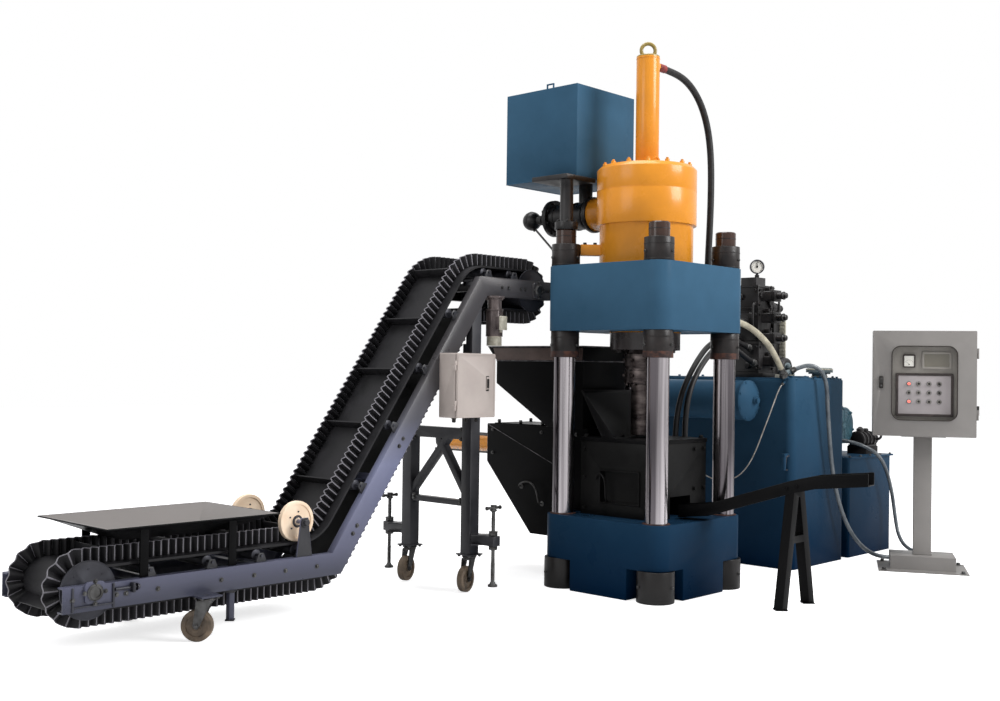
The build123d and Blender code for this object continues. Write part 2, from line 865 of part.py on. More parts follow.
# Conveyor frame: two bent channels, cross tubes, bearings, caster outriggers, wheel brackets
outrigger = 75
tail_caster_x = -2860
with BuildPart() as conveyor_frame:
    for near_side in (True, False):
        web_y = frame_near + rail_sheet if near_side else frame_far
        flange_y = frame_near + rail_flange if near_side else frame_far
        bearing_y = frame_near if near_side else frame_far + 14
        with BuildSketch(side_plane(web_y)):
            Polygon(*rail_line(0), *reversed(rail_line(-rail_height)), align=None)
        extrude(amount=rail_sheet)
        with BuildSketch(side_plane(flange_y)):
            Polygon(*rail_line(0), *reversed(rail_line(-rail_sheet)), align=None)
            Polygon(*rail_line(rail_sheet - rail_height), *reversed(rail_line(-rail_height)), align=None)
        extrude(amount=rail_flange)
        with BuildSketch(side_plane(bearing_y)):
            with Locations((tail_drum_x, tail_drum_z), (head_drum_x, head_drum_z)):
                RectangleRounded(100, 100, 20)
        extrude(amount=14)
        with BuildSketch(side_plane(frame_near + rail_flange if near_side else frame_far + 20)):
            with Locations((tail_drum_x, tail_drum_z), (head_drum_x, head_drum_z)):
                Circle(drum_shaft / 2 + pin_clearance)
        extrude(amount=rail_flange + 20, mode=Mode.SUBTRACT)
        plate_y = frame_near - outrigger / 2 if near_side else frame_far + outrigger / 2
        with BuildSketch(Plane.XY.offset(caster_top)):
            with Locations((tail_caster_x, plate_y + (outrigger / 4 if near_side else -outrigger / 4))):
                Rectangle(120, 1.5 * outrigger)
            with Locations((tail_caster_x, plate_y + (12 if near_side else -12))):
                Circle(10 + pin_clearance, mode=Mode.SUBTRACT)
        extrude(amount=rail_bottom - caster_top)
        bracket_y = frame_near + 2 * rail_sheet if near_side else frame_far - rail_sheet
        with BuildSketch(side_plane(bracket_y)):
            Polygon(
                (hold_wheel_x - bracket_foot / 2, rail_top),
                (hold_wheel_x + bracket_foot / 2, rail_top),
                (hold_wheel_x + bracket_head / 2, hold_wheel_z + bracket_head / 2),
                (hold_wheel_x - bracket_head / 2, hold_wheel_z + bracket_head / 2),
                align=None,
            )
        extrude(amount=rail_sheet)
        axle_y = near_hold_y + hold_wheel_width / 2 + 10 if near_side else bracket_y
        axle_length = axle_y - frame_near - 2 * rail_sheet if near_side else bracket_y - far_hold_y + 25
        with BuildSketch(side_plane(axle_y)):
            with Locations((hold_wheel_x, hold_wheel_z)):
                Circle(12)
        extrude(amount=axle_length)
    for cross_x in (-3050, -2450):
        with BuildSketch(side_plane(frame_far - rail_sheet)):
            with Locations((cross_x, rail_top - 52)):
                Rectangle(40, 40)
        extrude(amount=frame_width - 2 * rail_sheet)
    for cross_x in (-1700, -1250):
        with BuildSketch(side_plane(frame_far - rail_sheet)):
            with Locations(Location((cross_x, slope_height(cross_x, -52)), incline)):
                Rectangle(40, 40)
        extrude(amount=frame_width - 2 * rail_sheet)
    with BuildSketch(side_plane(frame_far - rail_sheet)):
        with Locations((head_drum_x - 300, rail_top + lift - 52)):
            Rectangle(40, 40)
    extrude(amount=frame_width - 2 * rail_sheet)
    with BuildSketch(Plane.XY.offset(73)):
        with Locations((-2690, frame_near + 20)):
            Rectangle(30, 30)
    extrude(amount=rail_bottom - 73)
save(conveyor_frame, "conveyor_frame")


def band(start, end, width):
    """Corners of a straight band of the given width from start to end."""
    along = atan2(end[1] - start[1], end[0] - start[0])
    side_u = -sin(along) * width / 2
    side_v = cos(along) * width / 2
    return [
        (start[0] + side_u, start[1] + side_v),
        (end[0] + side_u, end[1] + side_v),
        (end[0] - side_u, end[1] - side_v),
        (start[0] - side_u, start[1] - side_v),
    ]


# Leg frame under the head end: two square legs, beams, braces and the jack arms
jack_y = frame_near - jack_reach + 17
far_jack_y = frame_far + jack_reach - 17
arm_height = 60
arm_bottom = 300
with BuildPart() as leg_frame:
    left_edge = leg_x - leg_width / 2
    right_edge = leg_x + leg_width / 2
    for leg_y in (near_leg_y, far_leg_y):
        with BuildSketch(side_plane(leg_y + leg_width / 2)):
            Polygon(
                (left_edge, leg_foot),
                (right_edge, leg_foot),
                (right_edge, slope_height(right_edge, -rail_height)),
                (left_edge, slope_height(left_edge, -rail_height)),
                align=None,
            )
        extrude(amount=leg_width)
        with BuildSketch(Plane.XY.offset(caster_top)):
            with Locations((leg_x, leg_y)):
                Rectangle(120, 120)
                Circle(10 + pin_clearance, mode=Mode.SUBTRACT)
        extrude(amount=leg_foot - caster_top)
    with BuildSketch(Plane.XY.offset(slope_height(left_edge, -rail_height) - 120)):
        with Locations((leg_x, conveyor_y)):
            Rectangle(2 * leg_width, belt_width + 16)
    extrude(amount=400, mode=Mode.SUBTRACT)
    with BuildSketch(cross_plane(leg_x - 25)):
        with Locations((conveyor_y, 972)):
            Rectangle(frame_width - leg_width, 70)
        with Locations((conveyor_y, 540)):
            Rectangle(frame_width - leg_width, 36)
        Polygon(*band((conveyor_y - 100, 970), (far_leg_y, 560), 40), align=None)
        Polygon(*band((conveyor_y + 20, 970), (near_leg_y, 560), 40), align=None)
    extrude(amount=50)
    for arm_end, arm_start in ((jack_y - 30, frame_near + 5), (far_jack_y + 30, frame_far - 5)):
        with BuildSketch(Plane.XY.offset(arm_bottom)):
            with Locations((leg_x, (arm_end + arm_start) / 2)):
                Rectangle(60, abs(arm_end - arm_start))
        extrude(amount=arm_height)
    with BuildSketch(Plane.XY.offset(arm_bottom)):
        with Locations((leg_x, jack_y), (leg_x, far_jack_y)):
            Circle(jack_rod / 2 + pin_clearance)
    extrude(amount=arm_height, mode=Mode.SUBTRACT)
save(leg_frame, "leg_frame")

# Levelling jacks: a rod with a foot pad and a T handle, held in each arm
jack_handle_z = 532
for jack_name, rod_y in (("jack_near", jack_y), ("jack_far", far_jack_y)):
    with BuildPart() as jack:
        with BuildSketch(Plane.XY.offset(jack_drop)):
            with Locations((leg_x, rod_y)):
                Circle(30)
        extrude(amount=12)
        with BuildSketch(Plane.XY.offset(jack_drop + 12)):
            with Locations((leg_x, rod_y)):
                Circle(jack_rod / 2)
        extrude(amount=jack_handle_z - jack_drop - 12)
        with BuildSketch(cross_plane(leg_x - 62)):
            with Locations((rod_y, jack_handle_z)):
                Circle(9)
        extrude(amount=124)
    save(jack, jack_name)

# Swivel casters: a fork with its kingpin and axle, and the wheel that turns on it
crown_top = caster_top - 19
axle_radius = 6
for caster_name, caster_x, caster_y, trail in (
    ("head_near", leg_x, near_leg_y, 196),
    ("head_far", leg_x, far_leg_y, 196),
    ("tail_near", tail_caster_x, frame_near - outrigger / 2 + 12, 133),
    ("tail_far", tail_caster_x, frame_far + outrigger / 2 - 12, 133),
):
    trail_dir = Vector(cos(radians(trail)), sin(radians(trail)), 0)
    side_dir = Vector(sin(radians(trail)), -cos(radians(trail)), 0)
    pivot = Vector(caster_x, caster_y, 0)
    wheel_radius = caster_wheel_diameter / 2
    with BuildPart() as caster_fork:
        with BuildSketch(Plane(origin=pivot + Vector(0, 0, crown_top), x_dir=trail_dir, z_dir=(0, 0, 1))):
            Circle(38)
        extrude(amount=caster_top - face_gap - crown_top)
        with BuildSketch(Plane(origin=pivot + Vector(0, 0, crown_top), x_dir=trail_dir, z_dir=(0, 0, 1))):
            Circle(10)
        extrude(amount=leg_foot - face_gap - crown_top)
        crown_plane = Plane(origin=pivot + Vector(0, 0, crown_top - 9), x_dir=trail_dir, z_dir=(0, 0, 1))
        with BuildSketch(crown_plane):
            with Locations((8, 0)):
                Rectangle(76, caster_wheel_width + 16)
        extrude(amount=9)
        for side in (-1, 1):
            cheek_middle = side * (caster_wheel_width / 2 + 5.5)
            cheek_plane = Plane(origin=pivot + side_dir * (cheek_middle - 2.5), x_dir=trail_dir, z_dir=side_dir)
            with BuildSketch(cheek_plane):
                Polygon(
                    (-30, crown_top),
                    (46, crown_top),
                    (caster_offset + 18, wheel_radius),
                    (caster_offset, wheel_radius - 18),
                    (caster_offset - 18, wheel_radius),
                    align=None,
                )
            extrude(amount=5)
        axle_half = caster_wheel_width / 2 + 12
        axle_plane = Plane(origin=pivot + side_dir * -axle_half, x_dir=trail_dir, z_dir=side_dir)
        with BuildSketch(axle_plane):
            with Locations((caster_offset, wheel_radius)):
                Circle(axle_radius)
        extrude(amount=2 * axle_half)
    save(caster_fork, f"{caster_name}_fork")
    with BuildPart() as caster_wheel:
        wheel_plane = Plane(origin=pivot + side_dir * (-caster_wheel_width / 2), x_dir=trail_dir, z_dir=side_dir)
        with BuildSketch(wheel_plane):
            with Locations((caster_offset, wheel_radius)):
                Circle(wheel_radius)
                Circle(axle_radius + pin_clearance, mode=Mode.SUBTRACT)
        extrude(amount=caster_wheel_width)
        fillet(caster_wheel.edges().filter_by(GeomType.CIRCLE).group_by(Edge.length)[-1], radius=7)
        for recess_side in (0, caster_wheel_width - 8):
            with BuildSketch(wheel_plane.offset(recess_side)):
                with Locations((caster_offset, wheel_radius)):
                    Circle(wheel_radius - 24)
                    Circle(20, mode=Mode.SUBTRACT)
            extrude(amount=8, mode=Mode.SUBTRACT)
    save(caster_wheel, f"{caster_name}_wheel")

# Belt loop in side view, at a given height outside the belt's inner surface
return_low = belt_low - 2 * tail_path_radius
return_high = belt_high - 2 * head_path_radius


def belt_loop(outside):
    """Draws the closed loop that lies the given height outside the belt's inner surface."""
    carry = belt_above_rail + outside
    back = rail_top - return_low + outside
    back_bend = lower_bend_x + back * half_turn
    back_top = back_bend + (return_high - return_low) / tan(radians(incline))
    tail_top = (tail_drum_x, belt_low + outside)
    tail_bottom = (tail_drum_x, return_low - outside)
    head_top = (head_drum_x, belt_high + outside)
    head_bottom = (head_drum_x, return_high - outside)
    FilletPolyline(
        tail_top,
        (lower_bend_x - carry * half_turn, belt_low + outside),
        (upper_bend_x - carry * half_turn, belt_high + outside),
        head_top,
        radius=[bend_radius - outside, bend_radius + outside],
    )
    ThreePointArc(head_top, (head_drum_x + head_path_radius + outside, head_drum_z), head_bottom)
    FilletPolyline(
        head_bottom,
        (back_top, return_high - outside),
        (back_bend, return_low - outside),
        tail_bottom,
        radius=[bend_radius - outside, bend_radius + outside],
    )
    ThreePointArc(tail_bottom, (tail_drum_x - tail_path_radius - outside, tail_drum_z), tail_top)


# Belt with a corrugated wall along each edge and cleats between the walls
wall_top = belt_thickness + wall_height
near_wall_y = belt_near + wall_inset
far_wall_y = belt_far - wall_inset - wall_depth
with BuildLine(Plane.XY) as belt_course:
    belt_loop(belt_thickness)
belt_wire = belt_course.wire()


def across_belt(distance, thickness, height):
    """Corners of a bar that stands square on the belt at a distance along its outer surface."""
    place = belt_wire.position_at(distance / belt_wire.length)
    along = belt_wire.tangent_at(distance / belt_wire.length)
    outward = Vector(-along.Y, along.X)
    foot = place - outward * 2
    return [
        (corner.X, corner.Y)
        for corner in (
            foot - along * thickness / 2,
            foot + along * thickness / 2,
            foot + along * thickness / 2 + outward * (height + 2),
            foot - along * thickness / 2 + outward * (height + 2),
        )
    ]


with BuildPart() as sidewall_belt:
    with BuildSketch(side_plane(belt_far)):
        with BuildLine():
            belt_loop(belt_thickness)
        make_face()
        with BuildLine():
            belt_loop(0)
        make_face(mode=Mode.SUBTRACT)
    extrude(amount=belt_width)
    for wall_y in (near_wall_y, far_wall_y):
        with BuildSketch(side_plane(wall_y + wall_depth)):
            with BuildLine():
                belt_loop(wall_top)
            make_face()
            with BuildLine():
                belt_loop(belt_thickness - 1)
            make_face(mode=Mode.SUBTRACT)
        extrude(amount=wall_sheet)
        rib_count = round(belt_wire.length / wall_pitch)
        with BuildSketch(side_plane(wall_y + wall_depth - wall_sheet / 2)):
            for rib in range(rib_count):
                Polygon(*across_belt(rib * belt_wire.length / rib_count, 28, wall_height - 1), align=None)
        extrude(amount=wall_depth - wall_sheet / 2)
    cleat_count = round(belt_wire.length / cleat_pitch)
    with BuildSketch(side_plane(far_wall_y + 1)):
        for cleat in range(cleat_count):
            Polygon(*across_belt((cleat + 0.4) * belt_wire.length / cleat_count, 9, 62), align=None)
    extrude(amount=far_wall_y - near_wall_y - wall_depth + 2)
save(sidewall_belt, "sidewall_belt")

# Drums with their shafts and the discs at the belt's edges
for drum_name, drum_x, drum_z, drum_diameter in (
    ("tail_drum", tail_drum_x, tail_drum_z, tail_drum_diameter),
    ("head_drum", head_drum_x, head_drum_z, head_drum_diameter),
):
    with BuildPart() as drum:
        for end_y, length, diameter in (
            (frame_far + 20, frame_width + 40, drum_shaft),
            (belt_far, belt_width, drum_diameter),
            (belt_near - 1.5, 9, drum_disc),
            (belt_far + 10.5, 9, drum_disc),
            (belt_near + 1, 4, drum_diameter - 10),
            (belt_far + 3, 4, drum_diameter - 10),
        ):
            with BuildSketch(side_plane(end_y)):
                with Locations((drum_x, drum_z)):
                    Circle(diameter / 2)
            extrude(amount=length)
    save(drum, drum_name)

for wheel_name, middle_y in (("hold_down_near", near_hold_y), ("hold_down_far", far_hold_y)):
    with BuildPart() as hold_wheel:
        with BuildSketch(side_plane(middle_y + hold_wheel_width / 2)):
            with Locations((hold_wheel_x, hold_wheel_z)):
                Circle(hold_wheel_diameter / 2)
        extrude(amount=hold_wheel_width)
        fillet(hold_wheel.edges().filter_by(GeomType.CIRCLE), radius=4)
        for face_y in (middle_y + hold_wheel_width / 2, middle_y - hold_wheel_width / 2 + 6):
            with BuildSketch(side_plane(face_y)):
                with Locations((hold_wheel_x, hold_wheel_z)):
                    Circle(hold_wheel_diameter / 2 - 18)
                    Circle(34, mode=Mode.SUBTRACT)
            extrude(amount=6, mode=Mode.SUBTRACT)
        with BuildSketch(side_plane(middle_y + hold_wheel_width / 2 + 4)):
            with Locations((hold_wheel_x, hold_wheel_z)):
                Circle(22)
        extrude(amount=hold_wheel_width + 8)
        with BuildSketch(side_plane(middle_y + hold_wheel_width)):
            with Locations((hold_wheel_x, hold_wheel_z)):
                Circle(12 + pin_clearance)
        extrude(amount=2 * hold_wheel_width, mode=Mode.SUBTRACT)
    save(hold_wheel, wheel_name)

# Loading tray: a shallow funnel on four posts over the tail end of the belt
tray_rim = 610
tray_bottom = 515
tray_slope = 13
tray_places = [(-2930, 907.5, 980, 695, tray_rim), (-2910, 922.5, 580, 245, tray_bottom)]
with BuildPart() as loading_tray:
    for inset, lengthen in ((0, 0), (tray_slope, 1)):
        for middle_x, middle_y, size_x, size_y, level in tray_places:
            level_shift = lengthen if level == tray_rim else -lengthen
            with BuildSketch(Plane.XY.offset(level + level_shift)):
                with Locations((middle_x, middle_y)):
                    Rectangle(size_x - 2 * inset, size_y - 2 * inset)
        loft(mode=Mode.SUBTRACT if inset else Mode.ADD)
    for post_x in (-3183, -2679):
        for post_y in (frame_near + 25, frame_far - 25):
            with BuildSketch(Plane.XY.offset(rail_top)):
                with Locations((post_x, post_y)):
                    Rectangle(45, 8)
            extrude(amount=231 if post_y < conveyor_y else 238)
save(loading_tray, "loading_tray")

# Gearmotor hung below the near rail at the head end
motor_x = -768
motor_top = rail_top + lift - rail_height
with BuildPart() as gearmotor:
    for bottom, height, radius in (
        (motor_top - 14, 14, 62),
        (motor_top - 90, 76, 44),
        (motor_top - 250, 160, 50),
        (motor_top - 310, 60, 46),
    ):
        with BuildSketch(Plane.XY.offset(bottom)):
            with Locations((motor_x, frame_near)):
                Circle(radius)
        extrude(amount=height)
    with BuildSketch(Plane.XY.offset(motor_top - 210)):
        with Locations((motor_x, frame_near - 55)):
            Rectangle(60, 40)
    extrude(amount=80)
save(gearmotor, "gearmotor")

# Starter box on the near leg, a shell open to the front, and its door on the left edge
starter_left = -1243
starter_right = -910
starter_bottom = 1085
starter_top = 1474
starter_depth = 135
starter_sheet = 3
starter_wide = starter_right - starter_left
starter_tall = starter_top - starter_bottom
starter_x = (starter_left + starter_right) / 2
starter_z = (starter_bottom + starter_top) / 2
starter_front = frame_near - starter_depth
hinge_pin = 3
with BuildPart() as starter_box:
    with BuildSketch(side_plane(frame_near)):
        with Locations((starter_x, starter_z)):
            RectangleRounded(starter_wide, starter_tall, 8)
    extrude(amount=starter_depth)
    with BuildSketch(side_plane(frame_near - starter_sheet)):
        with Locations((starter_x, starter_z)):
            Rectangle(starter_wide - 2 * starter_sheet, starter_tall - 2 * starter_sheet)
    extrude(amount=starter_depth, mode=Mode.SUBTRACT)
    for hinge_z in (starter_z - 120, starter_z + 120):
        with BuildSketch(Plane.XY.offset(hinge_z - 30)):
            with Locations((starter_left - 5, starter_front - 6)):
                Circle(6)
            with Locations((starter_left - 5, starter_front + 6)):
                Rectangle(12, 24)
        extrude(amount=30)
        with BuildSketch(Plane.XY.offset(hinge_z)):
            with Locations((starter_left - 5, starter_front - 6)):
                Circle(hinge_pin)
        extrude(amount=30)
save(starter_box, "starter_box")

hinge_gap = 0.4
with BuildPart() as starter_door:
    door_front = starter_front - hinge_gap - 14
    with BuildSketch(side_plane(starter_front - hinge_gap)):
        with Locations((starter_x + 2, starter_z)):
            RectangleRounded(starter_wide - 6, starter_tall - 2, 8)
    extrude(amount=14)
    for hinge_z in (starter_z - 120, starter_z + 120):
        with BuildSketch(Plane.XY.offset(hinge_z + face_gap)):
            with Locations((starter_left - 5, starter_front - 6)):
                Circle(6)
            with Locations((starter_left + 2, starter_front - 7)):
                Rectangle(14, 8)
            with Locations((starter_left - 5, starter_front - 6)):
                Circle(hinge_pin + pin_clearance, mode=Mode.SUBTRACT)
        extrude(amount=29)
    with BuildSketch(side_plane(door_front)):
        with Locations((starter_right - 70, starter_z + 12)):
            RectangleRounded(22, 80, 5)
            with GridLocations(0, 34, 1, 2):
                Circle(5, mode=Mode.SUBTRACT)
    extrude(amount=5)
save(starter_door, "starter_door")

# Oil tank with its lid, breather, return elbow and level drain
breather_x = 1930
fitting_y = tank_near_y + 160
elbow_x = 1470
elbow_reach = 55
with BuildPart() as oil_tank:
    tank_x = tank_near_x + tank_width / 2
    tank_y = tank_near_y + tank_length / 2
    with BuildSketch():
        with Locations((tank_x, tank_y)):
            RectangleRounded(tank_width, tank_length, 55)
    extrude(amount=tank_height)
    with BuildSketch(Plane.XY.offset(tank_height)):
        with Locations((tank_x, tank_y)):
            RectangleRounded(tank_width - 16, tank_length - 16, 47)
    extrude(amount=tank_lid)
    for bottom, height, radius in ((0, 30, 55), (30, 12, 80), (42, 34, 98)):
        with BuildSketch(Plane.XY.offset(tank_top + bottom)):
            with Locations((breather_x, fitting_y)):
                Circle(radius)
        extrude(amount=height)
    chamfer(oil_tank.edges().group_by(Axis.Z)[-1], length=10)
    with BuildSketch(Plane.XY.offset(tank_top)):
        with Locations((elbow_x + 60, fitting_y)):
            RectangleRounded(300, 150, 60)
    extrude(amount=14)
    for bottom, height, radius in ((14, 24, 44), (38, 16, 36)):
        with BuildSketch(Plane.XY.offset(tank_top + bottom)):
            with Locations((elbow_x, fitting_y)):
                Circle(radius)
        extrude(amount=height)
    with BuildSketch(Plane.XY.offset(tank_top + 54)):
        with Locations((elbow_x, fitting_y)):
            Circle(27)
    elbow_axis = Axis((elbow_x - elbow_reach, fitting_y, tank_top + 54), (0, -1, 0))
    revolve(axis=elbow_axis, revolution_arc=180)
    with BuildSketch(Plane.XY.offset(tank_top - 5)):
        with Locations((elbow_x - 2 * elbow_reach, fitting_y)):
            Circle(27)
    extrude(amount=59)
    with BuildSketch(cross_plane(tank_near_x - 60)):
        with Locations((-320, 802)):
            Circle(14)
    extrude(amount=61)
    with BuildSketch(Plane.XY.offset(700)):
        with Locations((tank_near_x - 46, -320)):
            Circle(14)
    extrude(amount=116)
    for fitting, radius, length in (
        (hose_finish("drain_hose"), 25, 52),
        (hose_start("tank_conduit"), 19, 80),
        (hose_start("sensor_cable"), 8, 26),
        (hose_finish("sensor_cable"), 8, 20),
    ):
        with BuildSketch(fitting):
            Circle(radius)
        extrude(amount=length)
save(oil_tank, "oil_tank")

cooler_x = tank_near_x - cooler_gap - cooler_diameter / 2
cooler_z = 1183
cooler_start = -100
cooler_dome = 43
cooler_radius = cooler_diameter / 2
dome_sphere = (cooler_radius**2 + cooler_dome**2) / (2 * cooler_dome)
dome_middle = (dome_sphere - cooler_dome - sqrt(dome_sphere**2 - cooler_radius**2 / 4), cooler_radius / 2)
with BuildPart() as oil_cooler:
    with BuildSketch(Plane(origin=(cooler_x, cooler_start, cooler_z), x_dir=(0, 1, 0), z_dir=(1, 0, 0))):
        with BuildLine():
            Line((-cooler_dome, 0), (cooler_length, 0))
            Line((cooler_length, 0), (cooler_length, cooler_radius))
            Line((cooler_length, cooler_radius), (0, cooler_radius))
            ThreePointArc((0, cooler_radius), dome_middle, (-cooler_dome, 0))
        make_face()
    revolve(axis=Axis((cooler_x, 0, cooler_z), (0, 1, 0)))
    for saddle_y in (cooler_start + 150, cooler_start + 650):
        with BuildSketch(side_plane(saddle_y + 30)):
            with Locations((tank_near_x - 40, cooler_z - 60)):
                Rectangle(80, 100)
        extrude(amount=60)
save(oil_cooler, "oil_cooler")

# Valve stack on the tank: manifold blocks, solenoid valves, the gauge case and a junction strip
gauge_x = 1560
gauge_y = 120
gauge_z = 2170
gauge_facing = Plane(origin=(gauge_x, gauge_y, gauge_z), x_dir=(0.684, -0.729, 0), z_dir=(-0.729, -0.684, 0))
with BuildPart() as valve_manifold:
    for middle_x, middle_y, size_x, size_y, bottom, height in (
        (1550, 150, 300, 360, 0, 30),
        (1530, 150, 200, 260, 30, 230),
        (1540, 150, 180, 220, 260, 240),
        (1560, 140, 230, 200, 500, 180),
        (1540, 140, 130, 130, 680, 60),
    ):
        with BuildSketch(Plane.XY.offset(tank_top + bottom)):
            with Locations((middle_x, middle_y)):
                Rectangle(size_x, size_y)
        extrude(amount=height)
    for valve_z in (tank_top + 120, tank_top + 290, tank_top + 440, tank_top + 600):
        with BuildSketch(side_plane(60)):
            with Locations((1540, valve_z)):
                RectangleRounded(92, 74, 12)
        extrude(amount=130)
        with BuildSketch(side_plane(-70)):
            with Locations((1540, valve_z)):
                Circle(26)
        extrude(amount=40)
    for valve_z, valve_y in ((tank_top + 520, 60), (tank_top + 560, 190), (tank_top + 640, 130)):
        with BuildSketch(cross_plane(1600)):
            with Locations((valve_y, valve_z)):
                Circle(38)
        extrude(amount=150)
        with BuildSketch(cross_plane(1750)):
            with Locations((valve_y, valve_z)):
                Circle(24)
        extrude(amount=45)
    with BuildSketch(Plane.XY.offset(tank_top + 20)):
        with Locations((1745, 56)):
            Rectangle(12, 140)
        with Locations((1700, 56)):
            Rectangle(100, 60)
    extrude(amount=438)
    for fitting, radius in (
        (hose_finish("top_hose"), 32),
        (hose_start("ram_hose_a"), 25),
        (hose_start("ram_hose_b"), 25),
    ):
        with BuildSketch(fitting):
            Circle(radius)
        extrude(amount=75)
    with BuildSketch(Plane.XY.offset(tank_top + 738)):
        with Locations((gauge_x, gauge_y)):
            Circle(9)
    extrude(amount=gauge_z - tank_top - 738)
    with BuildSketch(gauge_facing.offset(-20)):
        Circle(52)
    extrude(amount=32)
    with BuildSketch(gauge_facing.offset(0)):
        Circle(46)
        Circle(4, mode=Mode.SUBTRACT)
    extrude(amount=20, mode=Mode.SUBTRACT)
save(valve_manifold, "valve_manifold")

with BuildPart() as gauge_needle:
    with BuildSketch(gauge_facing.offset(4)):
        Circle(8)
        Polygon((-3, 0), (3, 0), (1, 36), (-1, 36), align=None)
        Circle(4 + pin_clearance, mode=Mode.SUBTRACT)
    extrude(amount=3)
save(gauge_needle, "gauge_needle")

# Pump motor on the small tank's lid
pump_x = 2340
pump_z = 980
with BuildPart() as pump_motor:
    with BuildSketch(hose_start("cabinet_conduit")):
        Circle(20)
    extrude(amount=60)
    for start, length, radius in ((-200, 60, 140), (-140, 380, 160), (240, 30, 175), (270, 90, 110)):
        with BuildSketch(side_plane(start + length)):
            with Locations((pump_x, pump_z)):
                Circle(radius)
        extrude(amount=length)
    with BuildSketch(side_plane(200)):
        for foot_x in (pump_x - 110, pump_x + 110):
            with Locations((foot_x, (aux_height + pump_z) / 2)):
                Rectangle(60, pump_z - aux_height)
    extrude(amount=280)
    with BuildSketch(Plane.XY.offset(pump_z + 130)):
        with Locations((pump_x, 60)):
            Rectangle(120, 150)
    extrude(amount=90)
save(pump_motor, "pump_motor")

aux_x = tank_far_x + 70 + aux_width / 2
aux_y = tank_near_y + aux_length / 2
with BuildPart() as aux_tank:
    with BuildSketch():
        with Locations((aux_x, aux_y)):
            RectangleRounded(aux_width, aux_length, 20)
    extrude(amount=aux_height - 12)
    with BuildSketch(Plane.XY.offset(aux_height - 12)):
        with Locations((aux_x, aux_y)):
            RectangleRounded(aux_width + 40, aux_length + 40, 20)
    extrude(amount=12)
    with BuildSketch(Plane.XY.offset(aux_height)):
        with Locations((2640, -200)):
            Rectangle(200, 160)
    extrude(amount=60)
    with BuildSketch(cross_plane(2530)):
        with Locations((-200, aux_height + 110)):
            Circle(62)
    extrude(amount=250)
    with BuildSketch(cross_plane(2780)):
        with Locations((-200, aux_height + 110)):
            Circle(40)
    extrude(amount=60)
save(aux_tank, "aux_tank")

# Control cabinet, in its own frame: X along its front, Y into it
cabinet = Plane(
    origin=(cabinet_x, cabinet_y, 0),
    x_dir=(cos(radians(cabinet_turn)), sin(radians(cabinet_turn)), 0),
    z_dir=(0, 0, 1),
)
box_front_y = -cabinet_depth / 2
cabinet_middle = cabinet_bottom + cabinet_height / 2


def cabinet_front(y):
    """A drawing plane on the cabinet at its own depth y: X to the right, Y up, extruding outwards."""
    return Plane(origin=cabinet.origin + cabinet.y_dir * y, x_dir=cabinet.x_dir, z_dir=-cabinet.y_dir)


with BuildPart() as cabinet_stand:
    with BuildSketch(cabinet):
        Rectangle(base_plate, 470)
    extrude(amount=6)
    with BuildSketch(cabinet.offset(6)):
        Rectangle(437, 300)
    extrude(amount=95)
    with BuildSketch(cabinet.offset(101)):
        Rectangle(post_width, 100)
    extrude(amount=cabinet_bottom - 101)
    for hose_name in ("tank_conduit", "cabinet_conduit"):
        with BuildSketch(hose_finish(hose_name)):
            Circle(20)
        extrude(amount=60)
save(cabinet_stand, "cabinet_stand")

hinge_reach = 8
cabinet_hinges = (cabinet_middle - 215, cabinet_middle + 215)
with BuildPart() as cabinet_box:
    with BuildSketch(cabinet_front(cabinet_depth / 2)):
        with Locations((0, cabinet_middle)):
            Rectangle(cabinet_width, cabinet_height)
    extrude(amount=cabinet_depth)
    with BuildSketch(cabinet_front(cabinet_depth / 2 - cabinet_sheet)):
        with Locations((0, cabinet_middle)):
            Rectangle(cabinet_width - 2 * cabinet_sheet, cabinet_height - 2 * cabinet_sheet)
    extrude(amount=cabinet_depth, mode=Mode.SUBTRACT)
    for hinge_z in cabinet_hinges:
        with BuildSketch(cabinet.offset(hinge_z - 34)):
            with Locations((cabinet_width / 2 + hinge_reach, box_front_y - hinge_reach)):
                Circle(7)
            with Locations((cabinet_width / 2 + hinge_reach - 1, box_front_y - 4)):
                Rectangle(12, 9)
            with Locations((cabinet_width / 2 + hinge_reach - 2, box_front_y + 13)):
                Rectangle(14, 26)
        extrude(amount=34)
        with BuildSketch(cabinet.offset(hinge_z)):
            with Locations((cabinet_width / 2 + hinge_reach, box_front_y - hinge_reach)):
                Circle(hinge_pin)
        extrude(amount=34)
save(cabinet_box, "cabinet_box")

latch_x = -290
latch_z = 1324
with BuildPart() as cabinet_door:
    door_back = box_front_y - hinge_gap
    with BuildSketch(cabinet_front(door_back)):
        with Locations((0, cabinet_middle)):
            RectangleRounded(cabinet_width, cabinet_height, 6)
        with Locations((0, 1320)):
            RectangleRounded(window_width, window_height, window_corner, mode=Mode.SUBTRACT)
        with Locations((latch_x, latch_z)):
            Circle(7 + pin_clearance, mode=Mode.SUBTRACT)
    extrude(amount=door_thickness)
    with BuildSketch(cabinet_front(door_back)):
        with Locations((0, 1320)):
            RectangleRounded(window_width + 18, window_height + 18, window_corner + 9)
            RectangleRounded(window_width, window_height, window_corner, mode=Mode.SUBTRACT)
    extrude(amount=door_thickness + 4)
    for hinge_z in cabinet_hinges:
        with BuildSketch(cabinet.offset(hinge_z + face_gap)):
            with Locations((cabinet_width / 2 + hinge_reach, box_front_y - hinge_reach)):
                Circle(7)
            with Locations((cabinet_width / 2 + 3, box_front_y - hinge_reach)):
                Rectangle(10, 12)
            with Locations((cabinet_width / 2 + hinge_reach, box_front_y - hinge_reach)):
                Circle(hinge_pin + pin_clearance, mode=Mode.SUBTRACT)
        extrude(amount=33)
save(cabinet_door, "cabinet_door")

